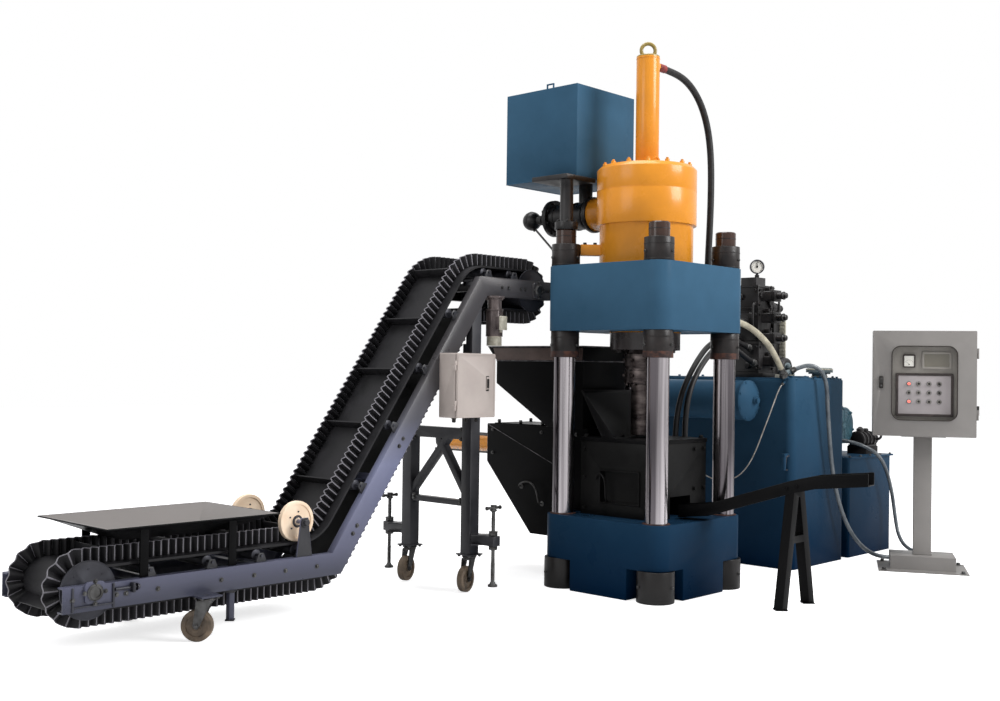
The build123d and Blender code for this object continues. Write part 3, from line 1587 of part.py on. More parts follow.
with BuildPart() as control_panel:
    panel_front = box_front_y + 30
    with BuildSketch(cabinet_front(panel_front + 4)):
        with Locations((0, 1320)):
            Rectangle(cabinet_width - 2 * cabinet_sheet - 2, 620)
    extrude(amount=4)
    for middle_x, middle_z, size_x, size_z, height in (
        (-101, 1476, 74, 86, 12),
        (84, 1482, 188, 112, 10),
        (3, 1238, 364, 284, 8),
    ):
        with BuildSketch(cabinet_front(panel_front)):
            with Locations((middle_x, middle_z)):
                RectangleRounded(size_x, size_z, 5)
        extrude(amount=height)
    with BuildSketch(cabinet_front(panel_front - 8)):
        with Locations((0, 1253)):
            with Locations((-101, 63), (-36, 63), (34, 63), (102, 63)):
                Circle(14)
            with Locations((-101, 0), (-36, 0), (34, 0), (102, 0)):
                Circle(14)
            with Locations((-101, -63), (-36, -63), (34, -63), (102, -63)):
                Circle(14)
    extrude(amount=12)
save(control_panel, "control_panel")

with BuildPart() as cabinet_latch:
    with BuildSketch(cabinet_front(door_back - door_thickness - face_gap)):
        with Locations((latch_x, latch_z)):
            RectangleRounded(26, 86, 6)
    extrude(amount=9)
    with BuildSketch(cabinet_front(door_back + 12)):
        with Locations((latch_x, latch_z)):
            Circle(7)
    extrude(amount=12 + door_thickness + face_gap + 2)
    with BuildSketch(cabinet_front(door_back + 12)):
        with Locations((latch_x, latch_z)):
            Rectangle(14, 14)
    extrude(amount=8)
save(cabinet_latch, "cabinet_latch")

switch_z = 1130
with BuildPart() as main_switch:
    switch_plane = Plane(
        origin=cabinet.origin + cabinet.x_dir * (cabinet_width / 2 + face_gap),
        x_dir=cabinet.y_dir,
        z_dir=cabinet.x_dir,
    )
    with BuildSketch(switch_plane):
        with Locations((0, switch_z)):
            Circle(30)
    extrude(amount=14)
    with BuildSketch(switch_plane.offset(14)):
        with Locations((0, switch_z)):
            RectangleRounded(16, 66, 6)
    extrude(amount=16)
save(main_switch, "main_switch")


# Hoses, conduits and the sensor cable: each a plain tube along its route
for hose_name, (hose_diameter, route_points) in hose_routes.items():
    route_radii = corner_radii(route_points)
    print(hose_name, "least bend in diameters", round(min(route_radii) / hose_diameter, 1))
    with BuildPart() as hose:
        with BuildLine() as route:
            FilletPolyline(*route_points, radius=route_radii)
        start = Vector(*route_points[0])
        with BuildSketch(Plane(origin=start, z_dir=Vector(*route_points[1]) - start)):
            Circle(hose_diameter / 2)
        sweep()
    section = pi * hose_diameter**2 / 4
    ratio = hose.part.volume / section / route.wire().length
    print(hose_name, "length", round(route.wire().length), "volume over section times length", round(ratio, 4))
    save(hose, hose_name)
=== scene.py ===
import json
import math

import bpy
from bpy.props import FloatProperty, FloatVectorProperty, PointerProperty
from mathutils import Matrix, Vector

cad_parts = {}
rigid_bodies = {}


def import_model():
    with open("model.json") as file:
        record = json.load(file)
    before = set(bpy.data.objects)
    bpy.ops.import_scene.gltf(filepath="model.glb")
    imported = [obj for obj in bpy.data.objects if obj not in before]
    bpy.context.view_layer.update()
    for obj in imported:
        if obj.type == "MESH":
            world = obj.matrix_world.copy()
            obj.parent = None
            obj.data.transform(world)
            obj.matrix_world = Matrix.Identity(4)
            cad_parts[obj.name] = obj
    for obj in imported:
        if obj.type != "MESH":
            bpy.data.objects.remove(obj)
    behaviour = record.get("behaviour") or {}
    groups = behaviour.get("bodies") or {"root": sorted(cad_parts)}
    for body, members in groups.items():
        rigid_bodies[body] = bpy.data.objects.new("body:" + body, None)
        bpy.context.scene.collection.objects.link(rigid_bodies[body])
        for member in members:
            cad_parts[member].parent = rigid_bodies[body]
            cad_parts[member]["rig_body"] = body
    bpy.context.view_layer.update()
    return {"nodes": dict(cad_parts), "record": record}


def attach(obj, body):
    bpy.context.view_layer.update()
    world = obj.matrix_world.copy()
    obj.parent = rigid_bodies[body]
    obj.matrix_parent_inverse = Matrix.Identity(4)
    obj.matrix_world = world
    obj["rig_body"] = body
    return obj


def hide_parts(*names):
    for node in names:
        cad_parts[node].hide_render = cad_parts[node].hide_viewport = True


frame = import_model()

bl_info = {
    "name": "Metal chip briquetting machine",
    "version": (1, 0, 0),
    "blender": (4, 5, 0),
    "location": "View3D > Sidebar > Briquetting machine",
    "description": "Dresses the briquetting machine's frame with its finishes, hoses and fittings",
    "category": "Object",
}

# Directions: X runs along the conveyor to the power unit, Y goes away from the near side
UP = Vector((0, 0, 1))
NEAR = Vector((0, -1, 0))
FAR = Vector((0, 1, 0))
AHEAD = Vector((1, 0, 0))
BACK = Vector((-1, 0, 0))

# Places on the press, in millimetres as all below
BASE_TOP = 465
CROSSHEAD_BOTTOM = 1630
CROSSHEAD_TOP = 2045
COLUMN = 365
COLUMN_CORNERS = [(x, y) for x in (-COLUMN, COLUMN) for y in (-COLUMN, COLUMN)]
RING_TOP = 2530
CAP_TOP = 2690
VALVE_Z = 2420
TUBE_TOP = 3405
MOULD_TOP = 955
FEED_HALF = 200
FEED_FLOOR, FEED_EAVE, FEED_RIDGE = 278, 740, 998

# Places on the conveyor
RAIL_NEAR = 610
RAIL_FAR = 1235
RAILS = ((RAIL_NEAR, NEAR), (RAIL_FAR, FAR))
RAIL_TOP = 352
RAIL_HEIGHT = 120
RAIL_MIDDLE = 60
LIFT = 1608
INCLINE = math.radians(54.5)
SLOPE = Vector((math.cos(INCLINE), 0, math.sin(INCLINE)))
SLOPE_UP = Vector((-math.sin(INCLINE), 0, math.cos(INCLINE)))
LOWER_BEND_X = -2042
UPPER_BEND_X = LOWER_BEND_X + LIFT / math.tan(INCLINE)
BELT_NEAR = 672.5
BELT_FAR = 1172.5
BELT_LOW = 415
BELT_HIGH = 2023
BELT_THICK = 12
BELT_BEND = 250
WALL_PITCH = 42
TAIL_DRUM = (-3455, 319, 96)
HEAD_DRUM = (-360, 1899, 124)
DISC_NEAR, DISC_FAR = 662, 1183
PRESS_WHEEL = (-2230, 537.3)
TRAY = ((-3420, -2440), (560, 1255), 607)
LEG_X = -925
LEG_NEAR, LEG_FAR = 650, 1195
TAIL_CASTER_X = -2860
JACKS = ((447, "near_jack"), (1398, "far_jack"))
MOTOR_X, MOTOR_Y, MOTOR_TOP = -768, 610, 1840

# Places on the power unit
TANK_TOP = 1345
TANK_X = (1257, 2030)
TANK_Y = (-360, 1240)
COOLER = (1107, 1183)
BREATHER = (1930, -200)
PUMP_MOTOR = (2340, 980)
SMALL_TANK_TOP = 750
PUMP_AXIS = (-200, 860)
GAUGE_PLACE = Vector((1560, 120, 2170))
GAUGE_FACING = Vector((-0.729, -0.684, 0)).normalized()
GAUGE_RIGHT = Vector((0.684, -0.729, 0)).normalized()

# The control cabinet's own directions: across its front, into it and out of it
CABINET_TURN = math.radians(-62.95)
CABINET_X = Vector((math.cos(CABINET_TURN), math.sin(CABINET_TURN), 0))
CABINET_Y = Vector((-CABINET_X.y, CABINET_X.x, 0))
CABINET_PLACE = Vector((2062, -943, 0))
OUT = -CABINET_Y
DOOR_FACE = -147.4
PANEL_FACE = -95
METER = (-101, 1476)
DISPLAY = (84, 1482)
BUTTON_PLATE = (3, 1238)

# The starter box: left, right, lowest, highest and front
STARTER = (-1240, -914, 1086, 1473, 460.6)


class BriquettingMachineSettings(bpy.types.PropertyGroup):
    """Sizes and colours of the machine that a user may want to change"""

    machine_paint: FloatVectorProperty(
        name="Machine paint",
        description="Blue paint of the platens and tanks",
        subtype="COLOR",
        size=3,
        min=0.0,
        max=1.0,
        default=(0.042, 0.104, 0.172),
    )
    cylinder_paint: FloatVectorProperty(
        name="Cylinder paint",
        description="Orange yellow paint of the cylinders",
        subtype="COLOR",
        size=3,
        min=0.0,
        max=1.0,
        default=(0.74, 0.28, 0.022),
    )
    cabinet_paint: FloatVectorProperty(
        name="Cabinet paint",
        description="Grey beige paint of the control cabinet",
        subtype="COLOR",
        size=3,
        min=0.0,
        max=1.0,
        default=(0.214, 0.203, 0.194),
    )
    wall_fold: FloatProperty(
        name="Belt wall fold",
        description="How far the belt's corrugated walls swing to each side",
        subtype="DISTANCE",
        unit="LENGTH",
        min=0.0,
        max=0.02,
        default=0.012,
    )
    camera_lens: FloatProperty(
        name="Camera lens",
        description="Focal length of the camera",
        unit="CAMERA",
        min=10.0,
        max=200.0,
        default=42.85,
    )
    key_light: FloatProperty(
        name="Key light",
        description="Power of the largest lamp",
        unit="POWER",
        min=0.0,
        max=5000.0,
        default=940.0,
    )


# Modelling with Blender's own tools
def clear_selection():
    active = bpy.context.view_layer.objects.active
    if active and active.mode != "OBJECT":
        bpy.ops.object.mode_set(mode="OBJECT")
    bpy.ops.object.select_all(action="DESELECT")


def pick(*pieces):
    """Selects the pieces alone and makes the first one active."""
    clear_selection()
    for piece in pieces:
        piece.select_set(True)
    bpy.context.view_layer.objects.active = pieces[0]


def mm(*place):
    return Vector(place) / 1000


def settings():
    return bpy.context.scene.briquetting_machine


def edit_all():
    """Opens the active piece's mesh with all of it selected."""
    bpy.ops.object.mode_set(mode="EDIT")
    bpy.ops.mesh.select_all(action="SELECT")


def close_mesh():
    """Turns all faces outward and closes the mesh."""
    bpy.ops.mesh.select_all(action="SELECT")
    bpy.ops.mesh.normals_make_consistent(inside=False)
    bpy.ops.object.mode_set(mode="OBJECT")


def apply_modifier(piece, kind, **values):
    modifier = piece.modifiers.new(kind.title(), kind)
    for key, value in values.items():
        setattr(modifier, key, value)
    pick(piece)
    bpy.ops.object.modifier_apply(modifier=modifier.name)


def soften_edges(piece, width, segments=2):
    apply_modifier(
        piece,
        "BEVEL",
        width=width / 1000,
        segments=segments,
        limit_method="ANGLE",
        angle_limit=math.radians(30),
        use_clamp_overlap=True,
    )


def placed(piece, origin, direction=UP, right=None):
    """Turns a piece modelled along Z to the direction and moves it to its origin, in millimetres."""
    along = Vector(direction).normalized()
    across = Vector(right) if right else along.orthogonal()
    across = (across - along * across.dot(along)).normalized()
    turn = Matrix((across, along.cross(across), along)).transposed().to_4x4()
    piece.matrix_world = Matrix.Translation(Vector(origin) / 1000) @ turn
    pick(piece)
    bpy.ops.object.transform_apply(location=True, rotation=True, scale=True)
    return piece


def turned(steps, sides=40, is_ring=False):
    """A turned solid along Z from (height, radius) steps; a ring's steps are its closed section."""
    clear_selection()
    height, radius = steps[0]
    bpy.ops.mesh.primitive_circle_add(
        vertices=sides,
        radius=radius / 1000,
        fill_type="NOTHING" if is_ring else "NGON",
        location=(0, 0, height / 1000),
    )
    piece = bpy.context.object
    bpy.ops.object.transform_apply(location=True)
    edit_all()
    for next_height, next_radius in steps[1:] + (steps[:1] if is_ring else []):
        rise = (next_height - height) / 1000
        bpy.ops.mesh.extrude_region_move(TRANSFORM_OT_translate={"value": (0, 0, rise)})
        scale = next_radius / radius
        if scale != 1:
            bpy.ops.transform.resize(value=(scale, scale, 1), center_override=(0, 0, 0))
        height, radius = next_height, next_radius
    bpy.ops.mesh.select_all(action="SELECT")
    if is_ring:
        bpy.ops.mesh.remove_doubles(threshold=0.00001)
    close_mesh()
    return piece


def spun(steps, sides, place, direction=UP):
    """A turned solid in its place."""
    return placed(turned(steps, sides), place, direction)


def ring(steps, sides, place, direction=UP):
    """A turned ring in its place."""
    return placed(turned(steps, sides, True), place, direction)


def hoop(inner, outer, height, sides, place, direction=UP):
    """A ring of rectangular section in its place."""
    return ring([(0, inner), (0, outer), (height, outer), (height, inner)], sides, place, direction)


def plate(outline, thickness, bevel=0.8):
    """A flat plate that rises along Z from its outline's points."""
    clear_selection()
    bpy.ops.mesh.primitive_circle_add(vertices=len(outline), radius=0.1, fill_type="NGON")
    piece = bpy.context.object
    for vertex, (across, along) in zip(piece.data.vertices, outline):
        vertex.co = (across / 1000, along / 1000, 0)
    edit_all()
    bpy.ops.mesh.extrude_region_move(TRANSFORM_OT_translate={"value": (0, 0, thickness / 1000)})
    close_mesh()
    if bevel:
        soften_edges(piece, bevel)
    return piece


def block(size, bevel, place, direction=UP, right=None):
    """A block standing on its place, its edges rounded: size is across, along and up."""
    width, depth, height = (value / 1000 for value in size)
    clear_selection()
    bpy.ops.mesh.primitive_cube_add(size=1, location=(0, 0, height / 2))
    piece = bpy.context.object
    piece.scale = (width, depth, height)
    bpy.ops.object.transform_apply(location=True, scale=True)
    if bevel:
        soften_edges(piece, bevel)
    return placed(piece, place, direction, right)


def rounded(width, height, radius, corner_steps=5):
    """Outline of a rectangle with rounded corners about the origin."""
    outline = []
    for corner, (side, level) in enumerate(((1, 1), (-1, 1), (-1, -1), (1, -1))):
        for step in range(corner_steps + 1):
            angle = math.radians(90 * corner + 90 * step / corner_steps)
            across = side * (width / 2 - radius) + radius * math.cos(angle)
            outline.append((across, level * (height / 2 - radius) + radius * math.sin(angle)))
    return outline


def cut_out(piece, outline, start=-10):
    """Cuts the outline's shape out of a plate, from the start height upward."""
    cutter = placed(plate(outline, 60, 0), (0, 0, start), UP, AHEAD)
    apply_modifier(piece, "BOOLEAN", operation="DIFFERENCE", object=cutter, solver="EXACT")
    bpy.data.objects.remove(cutter)
    return piece


def rim_frame(outer, inner, thickness, bevel, start=-10):
    """A frame: a plate of the outer outline with the inner one cut out of it."""
    piece = cut_out(plate(outer, thickness, 0), inner, start)
    if bevel:
        soften_edges(piece, bevel)
    return piece


def copies(pattern, places):
    """Copies of a pattern piece at (origin, direction) places; the pattern itself is used up."""
    made = []
    for origin, direction in places:
        piece = pattern.copy()
        piece.data = pattern.data.copy()
        bpy.context.scene.collection.objects.link(piece)
        made.append(placed(piece, origin, direction))
    bpy.data.objects.remove(pattern)
    return made


def joined(pieces):
    if len(pieces) > 1:
        pick(*pieces)
        bpy.ops.object.join()
    return pieces[0]


def dress(pieces, name, slot, material=None, body="machine", smooth=35):
    """Joins the pieces under one name, gives them their finish and lets them ride on a body."""
    piece = joined(pieces if isinstance(pieces, list) else [pieces])
    piece.name = name
    piece.data.name = name
    piece.data.materials.clear()
    piece.data.materials.append(material or finish(slot))
    pick(piece)
    bpy.ops.object.shade_smooth_by_angle(angle=math.radians(smooth))
    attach(piece, body)
    return piece


def hexagon_screw(across, head=None):
    """A hexagon screw head on its washer, standing on the origin."""
    head = head or across * 0.62
    base = across * 0.12
    flat, corner = across * 0.5, across * 0.577
    washer = turned([(0, across * 0.85), (base, across * 0.85)], 20)
    steps = [(base, flat), (base, corner), (base + head * 0.85, corner), (base + head, flat)]
    return joined([washer, turned(steps, 6)])


def screws(across, places):
    """Hexagon screws at (origin, direction) places."""
    return copies(hexagon_screw(across), places)


def socket_screws(diameter, places):
    """Socket head cap screws at (origin, direction) places."""
    radius = diameter / 2
    top, floor = diameter * 0.62, diameter * 0.3
    steps = [(0, radius), (diameter * 0.55, radius), (top, radius * 0.9), (top, radius * 0.5)]
    return copies(turned(steps + [(floor, radius * 0.48)], 18), places)


def circle_places(middle, direction, radius, count, start=0.0):
    """Places for screws evenly round a circle that faces the direction."""
    along = Vector(direction).normalized()
    across = along.orthogonal().normalized()
    other = along.cross(across)
    places = []
    for step in range(count):
        angle = math.radians(start) + 2 * math.pi * step / count
        offset = across * math.cos(angle) + other * math.sin(angle)
        places.append((Vector(middle) + offset * radius, direction))
    return places


def spoke(degrees, right=AHEAD, up=FAR):
    """The direction at an angle from right toward up."""
    angle = math.radians(degrees)
    return right * math.cos(angle) + up * math.sin(angle)


def smooth_line(name, points, diameter, bevel_steps, resolution):
    """A round bar or hose as a curve through its control points."""
    line = bpy.data.curves.new(name, "CURVE")
    line.dimensions = "3D"
    line.bevel_depth = diameter / 2000
    line.bevel_resolution = bevel_steps
    line.use_fill_caps = True
    spline = line.splines.new("NURBS")
    spline.points.add(len(points) - 1)
    for point, place in zip(spline.points, points):
        point.co = (*mm(*place), 1)
    spline.order_u = 3
    spline.use_endpoint_u = True
    spline.resolution_u = resolution
    return line


def bent_bar(points, diameter, bevel_steps=2):
    """A round bar along a smooth line through its control points, closed at both ends."""
    piece = bpy.data.objects.new("bar", smooth_line("bar", points, diameter, bevel_steps, 6))
    bpy.context.scene.collection.objects.link(piece)
    pick(piece)
    bpy.ops.object.convert(target="MESH")
    return bpy.context.object


def rods(points, diameter):
    """A straight round bar from each point to the next."""
    return [bent_bar([first, last], diameter) for first, last in zip(points, points[1:])]


# Finishes
def feed(tree, socket, value):
    """Links a socket's value, or sets it as it is."""
    if isinstance(value, bpy.types.NodeSocket):
        tree.links.new(value, socket)
    else:
        socket.default_value = value


def add_node(tree, kind, inputs=None, **values):
    node = tree.nodes.new("ShaderNode" + kind)
    for key, value in values.items():
        setattr(node, key, value)
    for key, value in (inputs or {}).items():
        feed(tree, node.inputs[key], value)
    return node


def maths(tree, operation, first, second):
    return add_node(tree, "Math", {0: first, 1: second}, operation=operation).outputs[0]


def mixed(tree, share, below, above):
    """Mixes two colours by the share of the second one."""
    return add_node(tree, "Mix", {0: share, 6: below, 7: above}, data_type="RGBA").outputs[2]


def shader_inputs(material):
    return material.node_tree.nodes["Principled BSDF"].inputs


def tinted(colour, factor):
    return [min(1.0, channel * factor) for channel in colour[:3]] + [1.0]


def srgb(red, green, blue):
    """A colour given as it looks on screen, 0 to 255, in the linear values that Blender uses."""
    return [
        value / 12.92 if value <= 0.04045 else ((value + 0.055) / 1.055) ** 2.4
        for value in (red / 255, green / 255, blue / 255)
    ] + [1.0]


def height_socket(tree):
    place = add_node(tree, "TexCoord").outputs["Object"]
    return add_node(tree, "SeparateXYZ", {"Vector": place}).outputs["Z"]


def surface(
    name,
    colour,
    second,
    roughness=(0.3, 0.45),
    scale=4.0,
    metallic=0.0,
    stretch=(1, 1, 1),
    grain=180.0,
    bump=0.05,
    coat=0.0,
    mix=(0.35, 0.7),
    low_darkening=0.0,
    darkening_height=0.6,
    darkening_tint=(0.2, 0.2, 0.2),
    specular=0.3,
):
    """A finish with clouded colour, uneven gloss and a fine grain, all in the piece's own place."""
    known = bpy.data.materials.get(name)
    if known:
        return known
    material = bpy.data.materials.new(name)
    material.use_nodes = True
    tree = material.node_tree
    place = add_node(tree, "TexCoord").outputs["Object"]
    spread = add_node(tree, "Mapping", {"Vector": place, "Scale": stretch}).outputs["Vector"]
    cloud_inputs = {"Vector": spread, "Scale": scale, "Detail": 5, "Roughness": 0.6}
    cloud = add_node(tree, "TexNoise", cloud_inputs).outputs["Fac"]
    ramp = add_node(tree, "ValToRGB", {"Fac": cloud})
    for point, position, shade in zip(ramp.color_ramp.elements, mix, (second, colour)):
        point.position = position
        point.color = shade
    shade = ramp.outputs["Color"]
    # Darker towards the bottom: below the darkening height the colour turns towards the darkening tint
    if low_darkening:
        fade = {"Value": height_socket(tree), "From Max": darkening_height, "To Min": low_darkening, "To Max": 0.0}
        low = add_node(tree, "MapRange", fade).outputs["Result"]
        shade = mixed(tree, low, shade, [channel * part for channel, part in zip(second, (*darkening_tint, 1))])
    spans = {"Value": cloud, "From Min": 0.3, "From Max": 0.7, "To Min": roughness[0], "To Max": roughness[1]}
    fine = add_node(tree, "TexNoise", {"Vector": spread, "Scale": grain, "Detail": 3}).outputs["Fac"]
    relief = add_node(tree, "Bump", {"Strength": bump, "Distance": 0.002, "Height": fine})
    for key, value in {
        "Base Color": shade,
        "Roughness": add_node(tree, "MapRange", spans).outputs["Result"],
        "Normal": relief.outputs["Normal"],
        "Metallic": metallic,
        "Coat Weight": coat,
        "Specular IOR Level": specular,
    }.items():
        feed(tree, shader_inputs(material)[key], value)
    return material


def put_over(material, mask, colour):
    """Lays a colour over the finish where the mask is 1."""
    base = shader_inputs(material)["Base Color"]
    feed(material.node_tree, base, mixed(material.node_tree, mask, base.links[0].from_socket, colour))
    return material


def capped(material, low, high, colour):
    """Another colour below the low height and above the high one, and there no chrome."""
    tree = material.node_tree
    height = height_socket(tree)
    below = maths(tree, "LESS_THAN", height, low / 1000)
    outside = maths(tree, "MAXIMUM", below, maths(tree, "GREATER_THAN", height, high / 1000))
    metal = shader_inputs(material)["Metallic"]
    if metal.default_value > 0.5:
        feed(tree, metal, maths(tree, "SUBTRACT", 1.0, outside))
    return put_over(material, outside, colour)


def lit_from_above(material, colour):
    """Another colour on the faces that look up, as a painted highlight of the light from above."""
    tree = material.node_tree
    normal = add_node(tree, "NewGeometry").outputs["Normal"]
    upward = add_node(tree, "SeparateXYZ", {"Vector": normal}).outputs["Z"]
    return put_over(material, maths(tree, "GREATER_THAN", upward, 0.8), colour)


def shaded_by_height(material, steps):
    """Colours the finish by (height, colour) steps, with its clouds still seen through them."""
    tree = material.node_tree
    lowest, highest = steps[0][0], steps[-1][0]
    reach = {"Value": height_socket(tree), "From Min": lowest / 1000, "From Max": highest / 1000}
    ramp = add_node(tree, "ValToRGB", {"Fac": add_node(tree, "MapRange", reach).outputs["Result"]})
    points = ramp.color_ramp.elements
    while len(points) < len(steps):
        points.new(0.5)
    for point, (height, colour) in zip(points, steps):
        point.position = (height - lowest) / (highest - lowest)
        point.color = srgb(*colour)
    return put_over(material, 0.78, ramp.outputs["Color"])


# Slots painted in a colour from the settings, and how dark their clouds are
PAINTED = {
    "machine_blue": ("machine_paint", 0.8),
    "cylinder_yellow": ("cylinder_paint", 0.82),
    "cabinet_beige": ("cabinet_paint", 0.86),
}
# Each slot's two colours, then its roughness, the size of its clouds and what else it has
FINISHES = {
    "machine_blue": (
        None, None, (0.24, 0.42), 2.2,
        dict(grain=140, bump=0.06, mix=(0.3, 0.65), low_darkening=1.0, darkening_height=1.9,
             darkening_tint=(0.0, 0.12, 0.23), specular=0.02),
    ),
    "cylinder_yellow": (None, None, (0.2, 0.32), 3, dict(grain=120, coat=0.1, specular=0.25)),
    "cabinet_beige": (None, None, (0.36, 0.5), 2.4, dict(grain=200, low_darkening=0.12)),
    "nut_brown": (
        (36, 30, 29), (20, 17, 17), (0.28, 0.5), 14, dict(grain=260, low_darkening=0.9, darkening_height=0.8)
    ),
    # The chrome's vertical light and dark streaks are painted reflections
    "column_chrome": (
        (206, 200, 203), (100, 95, 99), (0.1, 0.26), 15,
        dict(metallic=1.0, stretch=(1, 1, 0.012), grain=90, bump=0.01, mix=(0.42, 0.64)),
    ),
    "valve_black": ((38, 36, 37), (18, 17, 17), (0.25, 0.5), 9, {}),
    "ram_steel": (
        (96, 88, 86), (48, 42, 42), (0.25, 0.45), 10, dict(metallic=0.9, stretch=(1, 1, 3), grain=120)
    ),
    "mould_iron": ((17, 17, 17), (10, 10, 10), (0.35, 0.6), 7, dict(bump=0.12, specular=0.12)),
    "sheet_black": ((15, 15, 16), (9, 9, 10), (0.28, 0.48), 3, dict(specular=0.05)),
    "frame_grey": ((62, 62, 66), (40, 40, 43), (0.26, 0.44), 2.6, dict(grain=150, bump=0.06, low_darkening=0.4)),
    "jack_steel": ((98, 98, 98), (58, 57, 56), (0.35, 0.55), 18, dict(metallic=0.8, bump=0.08)),
    "caster_tan": ((128, 112, 95), (78, 68, 58), (0.4, 0.6), 14, {}),
    "belt_rubber": ((31, 30, 33), (17, 17, 19), (0.45, 0.65), 9, dict(grain=220, bump=0.1, specular=0.25)),
    "drum_steel": ((66, 67, 74), (40, 40, 45), (0.3, 0.5), 5, dict(metallic=0.4)),
    "wheel_cream": ((250, 230, 206), (230, 204, 176), (0.35, 0.5), 6, dict(bump=0.04)),
    "motor_cream": ((112, 102, 100), (66, 58, 58), (0.25, 0.4), 9, dict(metallic=0.3)),
    "starter_grey": ((184, 174, 168), (168, 158, 153), (0.35, 0.5), 3, {}),
    "motor_teal": ((52, 92, 104), (36, 66, 80), (0.3, 0.45), 5, dict(bump=0.06)),
    "needle_black": ((20, 20, 20), (12, 12, 12), (0.3, 0.4), 60, {}),
    "panel_beige": ((150, 146, 140), (130, 126, 120), (0.3, 0.45), 4, dict(bump=0.04)),
    "latch_black": ((30, 27, 24), (18, 16, 15), (0.3, 0.45), 40, {}),
    "hose_black": ((34, 33, 34), (20, 19, 20), (0.38, 0.55), 30, dict(grain=320, bump=0.08)),
    "hose_beige": ((178, 172, 152), (140, 134, 118), (0.35, 0.5), 16, dict(bump=0.06)),
    "conduit_grey": ((104, 110, 114), (66, 73, 80), (0.16, 0.28), 9, dict(coat=0.2)),
    "cable_white": ((196, 190, 182), (150, 144, 138), (0.35, 0.5), 20, dict(bump=0.04)),
    # Finishes that no slot has by itself
    "rusty_band": (
        (84, 55, 45), (42, 31, 30), (0.45, 0.7), 16,
        dict(metallic=0.3, stretch=(1, 1, 1.8), grain=160, bump=0.25, mix=(0.42, 0.6)),
    ),
    "aged_brass": ((176, 138, 66), (110, 86, 48), (0.3, 0.5), 40, dict(metallic=0.7, grain=200, bump=0.1)),
    "red_sleeve": ((150, 52, 46), (96, 34, 32), (0.35, 0.5), 30, dict(grain=240, bump=0.1)),
    # Pale rods along sheet edges: a painted highlight on the edges
    "rubbed_edge": ((112, 110, 112), (40, 38, 40), (0.3, 0.5), 20, dict(metallic=0.5, mix=(0.35, 0.6))),
    "hopper_collar_brown": ((104, 88, 82), (70, 58, 55), (0.35, 0.5), 4, dict(metallic=0.2)),
    "pale_fitting": ((196, 192, 178), (150, 146, 132), (0.3, 0.45), 30, {}),
    "gauge_glass": ((150, 160, 168), (120, 110, 70), (0.08, 0.15), 3, dict(coat=0.6)),
    "dial_white": ((228, 226, 220), (214, 212, 204), (0.25, 0.35), 30, dict(bump=0.0)),
    "window_seal": ((58, 52, 48), (34, 31, 29), (0.4, 0.55), 30, dict(grain=240)),
    "panel_frame_dark": ((64, 56, 54), (40, 35, 34), (0.35, 0.5), 20, {}),
    "button_plate": ((160, 154, 155), (146, 140, 141), (0.3, 0.42), 5, dict(metallic=0.1, bump=0.02)),
    "display_screen": ((118, 116, 102), (104, 100, 90), (0.08, 0.16), 5, dict(coat=0.5, bump=0.0)),
}  # fmt: skip


def finish(slot):
    """One of the finishes above, made once."""
    colour, second, roughness, scale, more = FINISHES[slot]
    if slot in PAINTED:
        setting, shade = PAINTED[slot]
        colour = [*getattr(settings(), setting), 1.0]
        second = tinted(colour, shade)
    else:
        colour, second = srgb(*colour), srgb(*second)
    return surface("finish_" + slot, colour, second, roughness, scale, **more)


def own_finish(slot, name):
    """A copy of a finish, to be changed on its own."""
    material = finish(slot).copy()
    material.name = name
    return material


def glow(name, colour, strength):
    """A lit lamp cap: a coloured plastic with some light of its own."""
    material = surface(name, colour, tinted(colour, 0.8), (0.2, 0.3), 60)
    shader_inputs(material)["Emission Color"].default_value = colour
    shader_inputs(material)["Emission Strength"].default_value = strength
    return material


def node_finish(node):
    """The finish of a node that isn't one even colour, or nothing."""
    if node == "tie_columns":
        return capped(finish("column_chrome"), BASE_TOP, CROSSHEAD_TOP, srgb(58, 40, 33))
    if node == "main_cylinder":
        neck = own_finish("cylinder_yellow", "cylinder_neck")
        return capped(neck, CROSSHEAD_BOTTOM, 9000, srgb(46, 42, 42))
    if node == "rapid_tube":
        return capped(own_finish("cylinder_yellow", "tube_eye"), 0, TUBE_TOP, srgb(140, 122, 68))
    if node == "aux_tank":
        return capped(own_finish("machine_blue", "small_tank_pump"), 0, SMALL_TANK_TOP + 2, srgb(30, 29, 30))
    if node == "oil_tank":
        return capped(own_finish("machine_blue", "tank_breather"), 0, TANK_TOP + 16, srgb(126, 138, 142))
    if node == "gearmotor":
        return capped(own_finish("motor_cream", "motor_end"), 1590, 9000, srgb(196, 188, 168))
    if node == "loading_tray":
        # The tray's faces that look up get a lighter colour: a painted highlight
        return lit_from_above(own_finish("sheet_black", "tray_top"), srgb(120, 116, 114))
    if node == "conveyor_frame":
        # The rails' colour by height: a lavender tone low down and grey above, with a brighter band from 380
        # to 1080 mm that is a painted sheen
        steps = (
            (250, (62, 64, 80)),
            (380, (92, 94, 116)),
            (820, (122, 126, 154)),
            (1080, (84, 84, 92)),
            (1300, (66, 64, 66)),
            (2000, (72, 70, 72)),
        )
        return shaded_by_height(own_finish("frame_grey", "rail_paint"), steps)
    return None


# Stage: camera, lamps, floor and world
LAMPS = (
    ("key_lamp", (3.0, -8.5, 6.5), (0.5, 0, 1.3), 4.5, 1.0),
    ("fill_lamp", (-8.5, 1.5, 4.5), (-0.5, 0.5, 1.2), 4.0, 0.16),
    ("top_lamp", (-1.0, 0.5, 8.5), (0, 0, 1), 5.0, 0.55),
)
CAMERA_PLACE = (-6.2259, -4.5613, 1.38463)
CAMERA_HEADING, CAMERA_PITCH, CAMERA_ROLL = math.radians(43.166), 0.0151, 0.0134


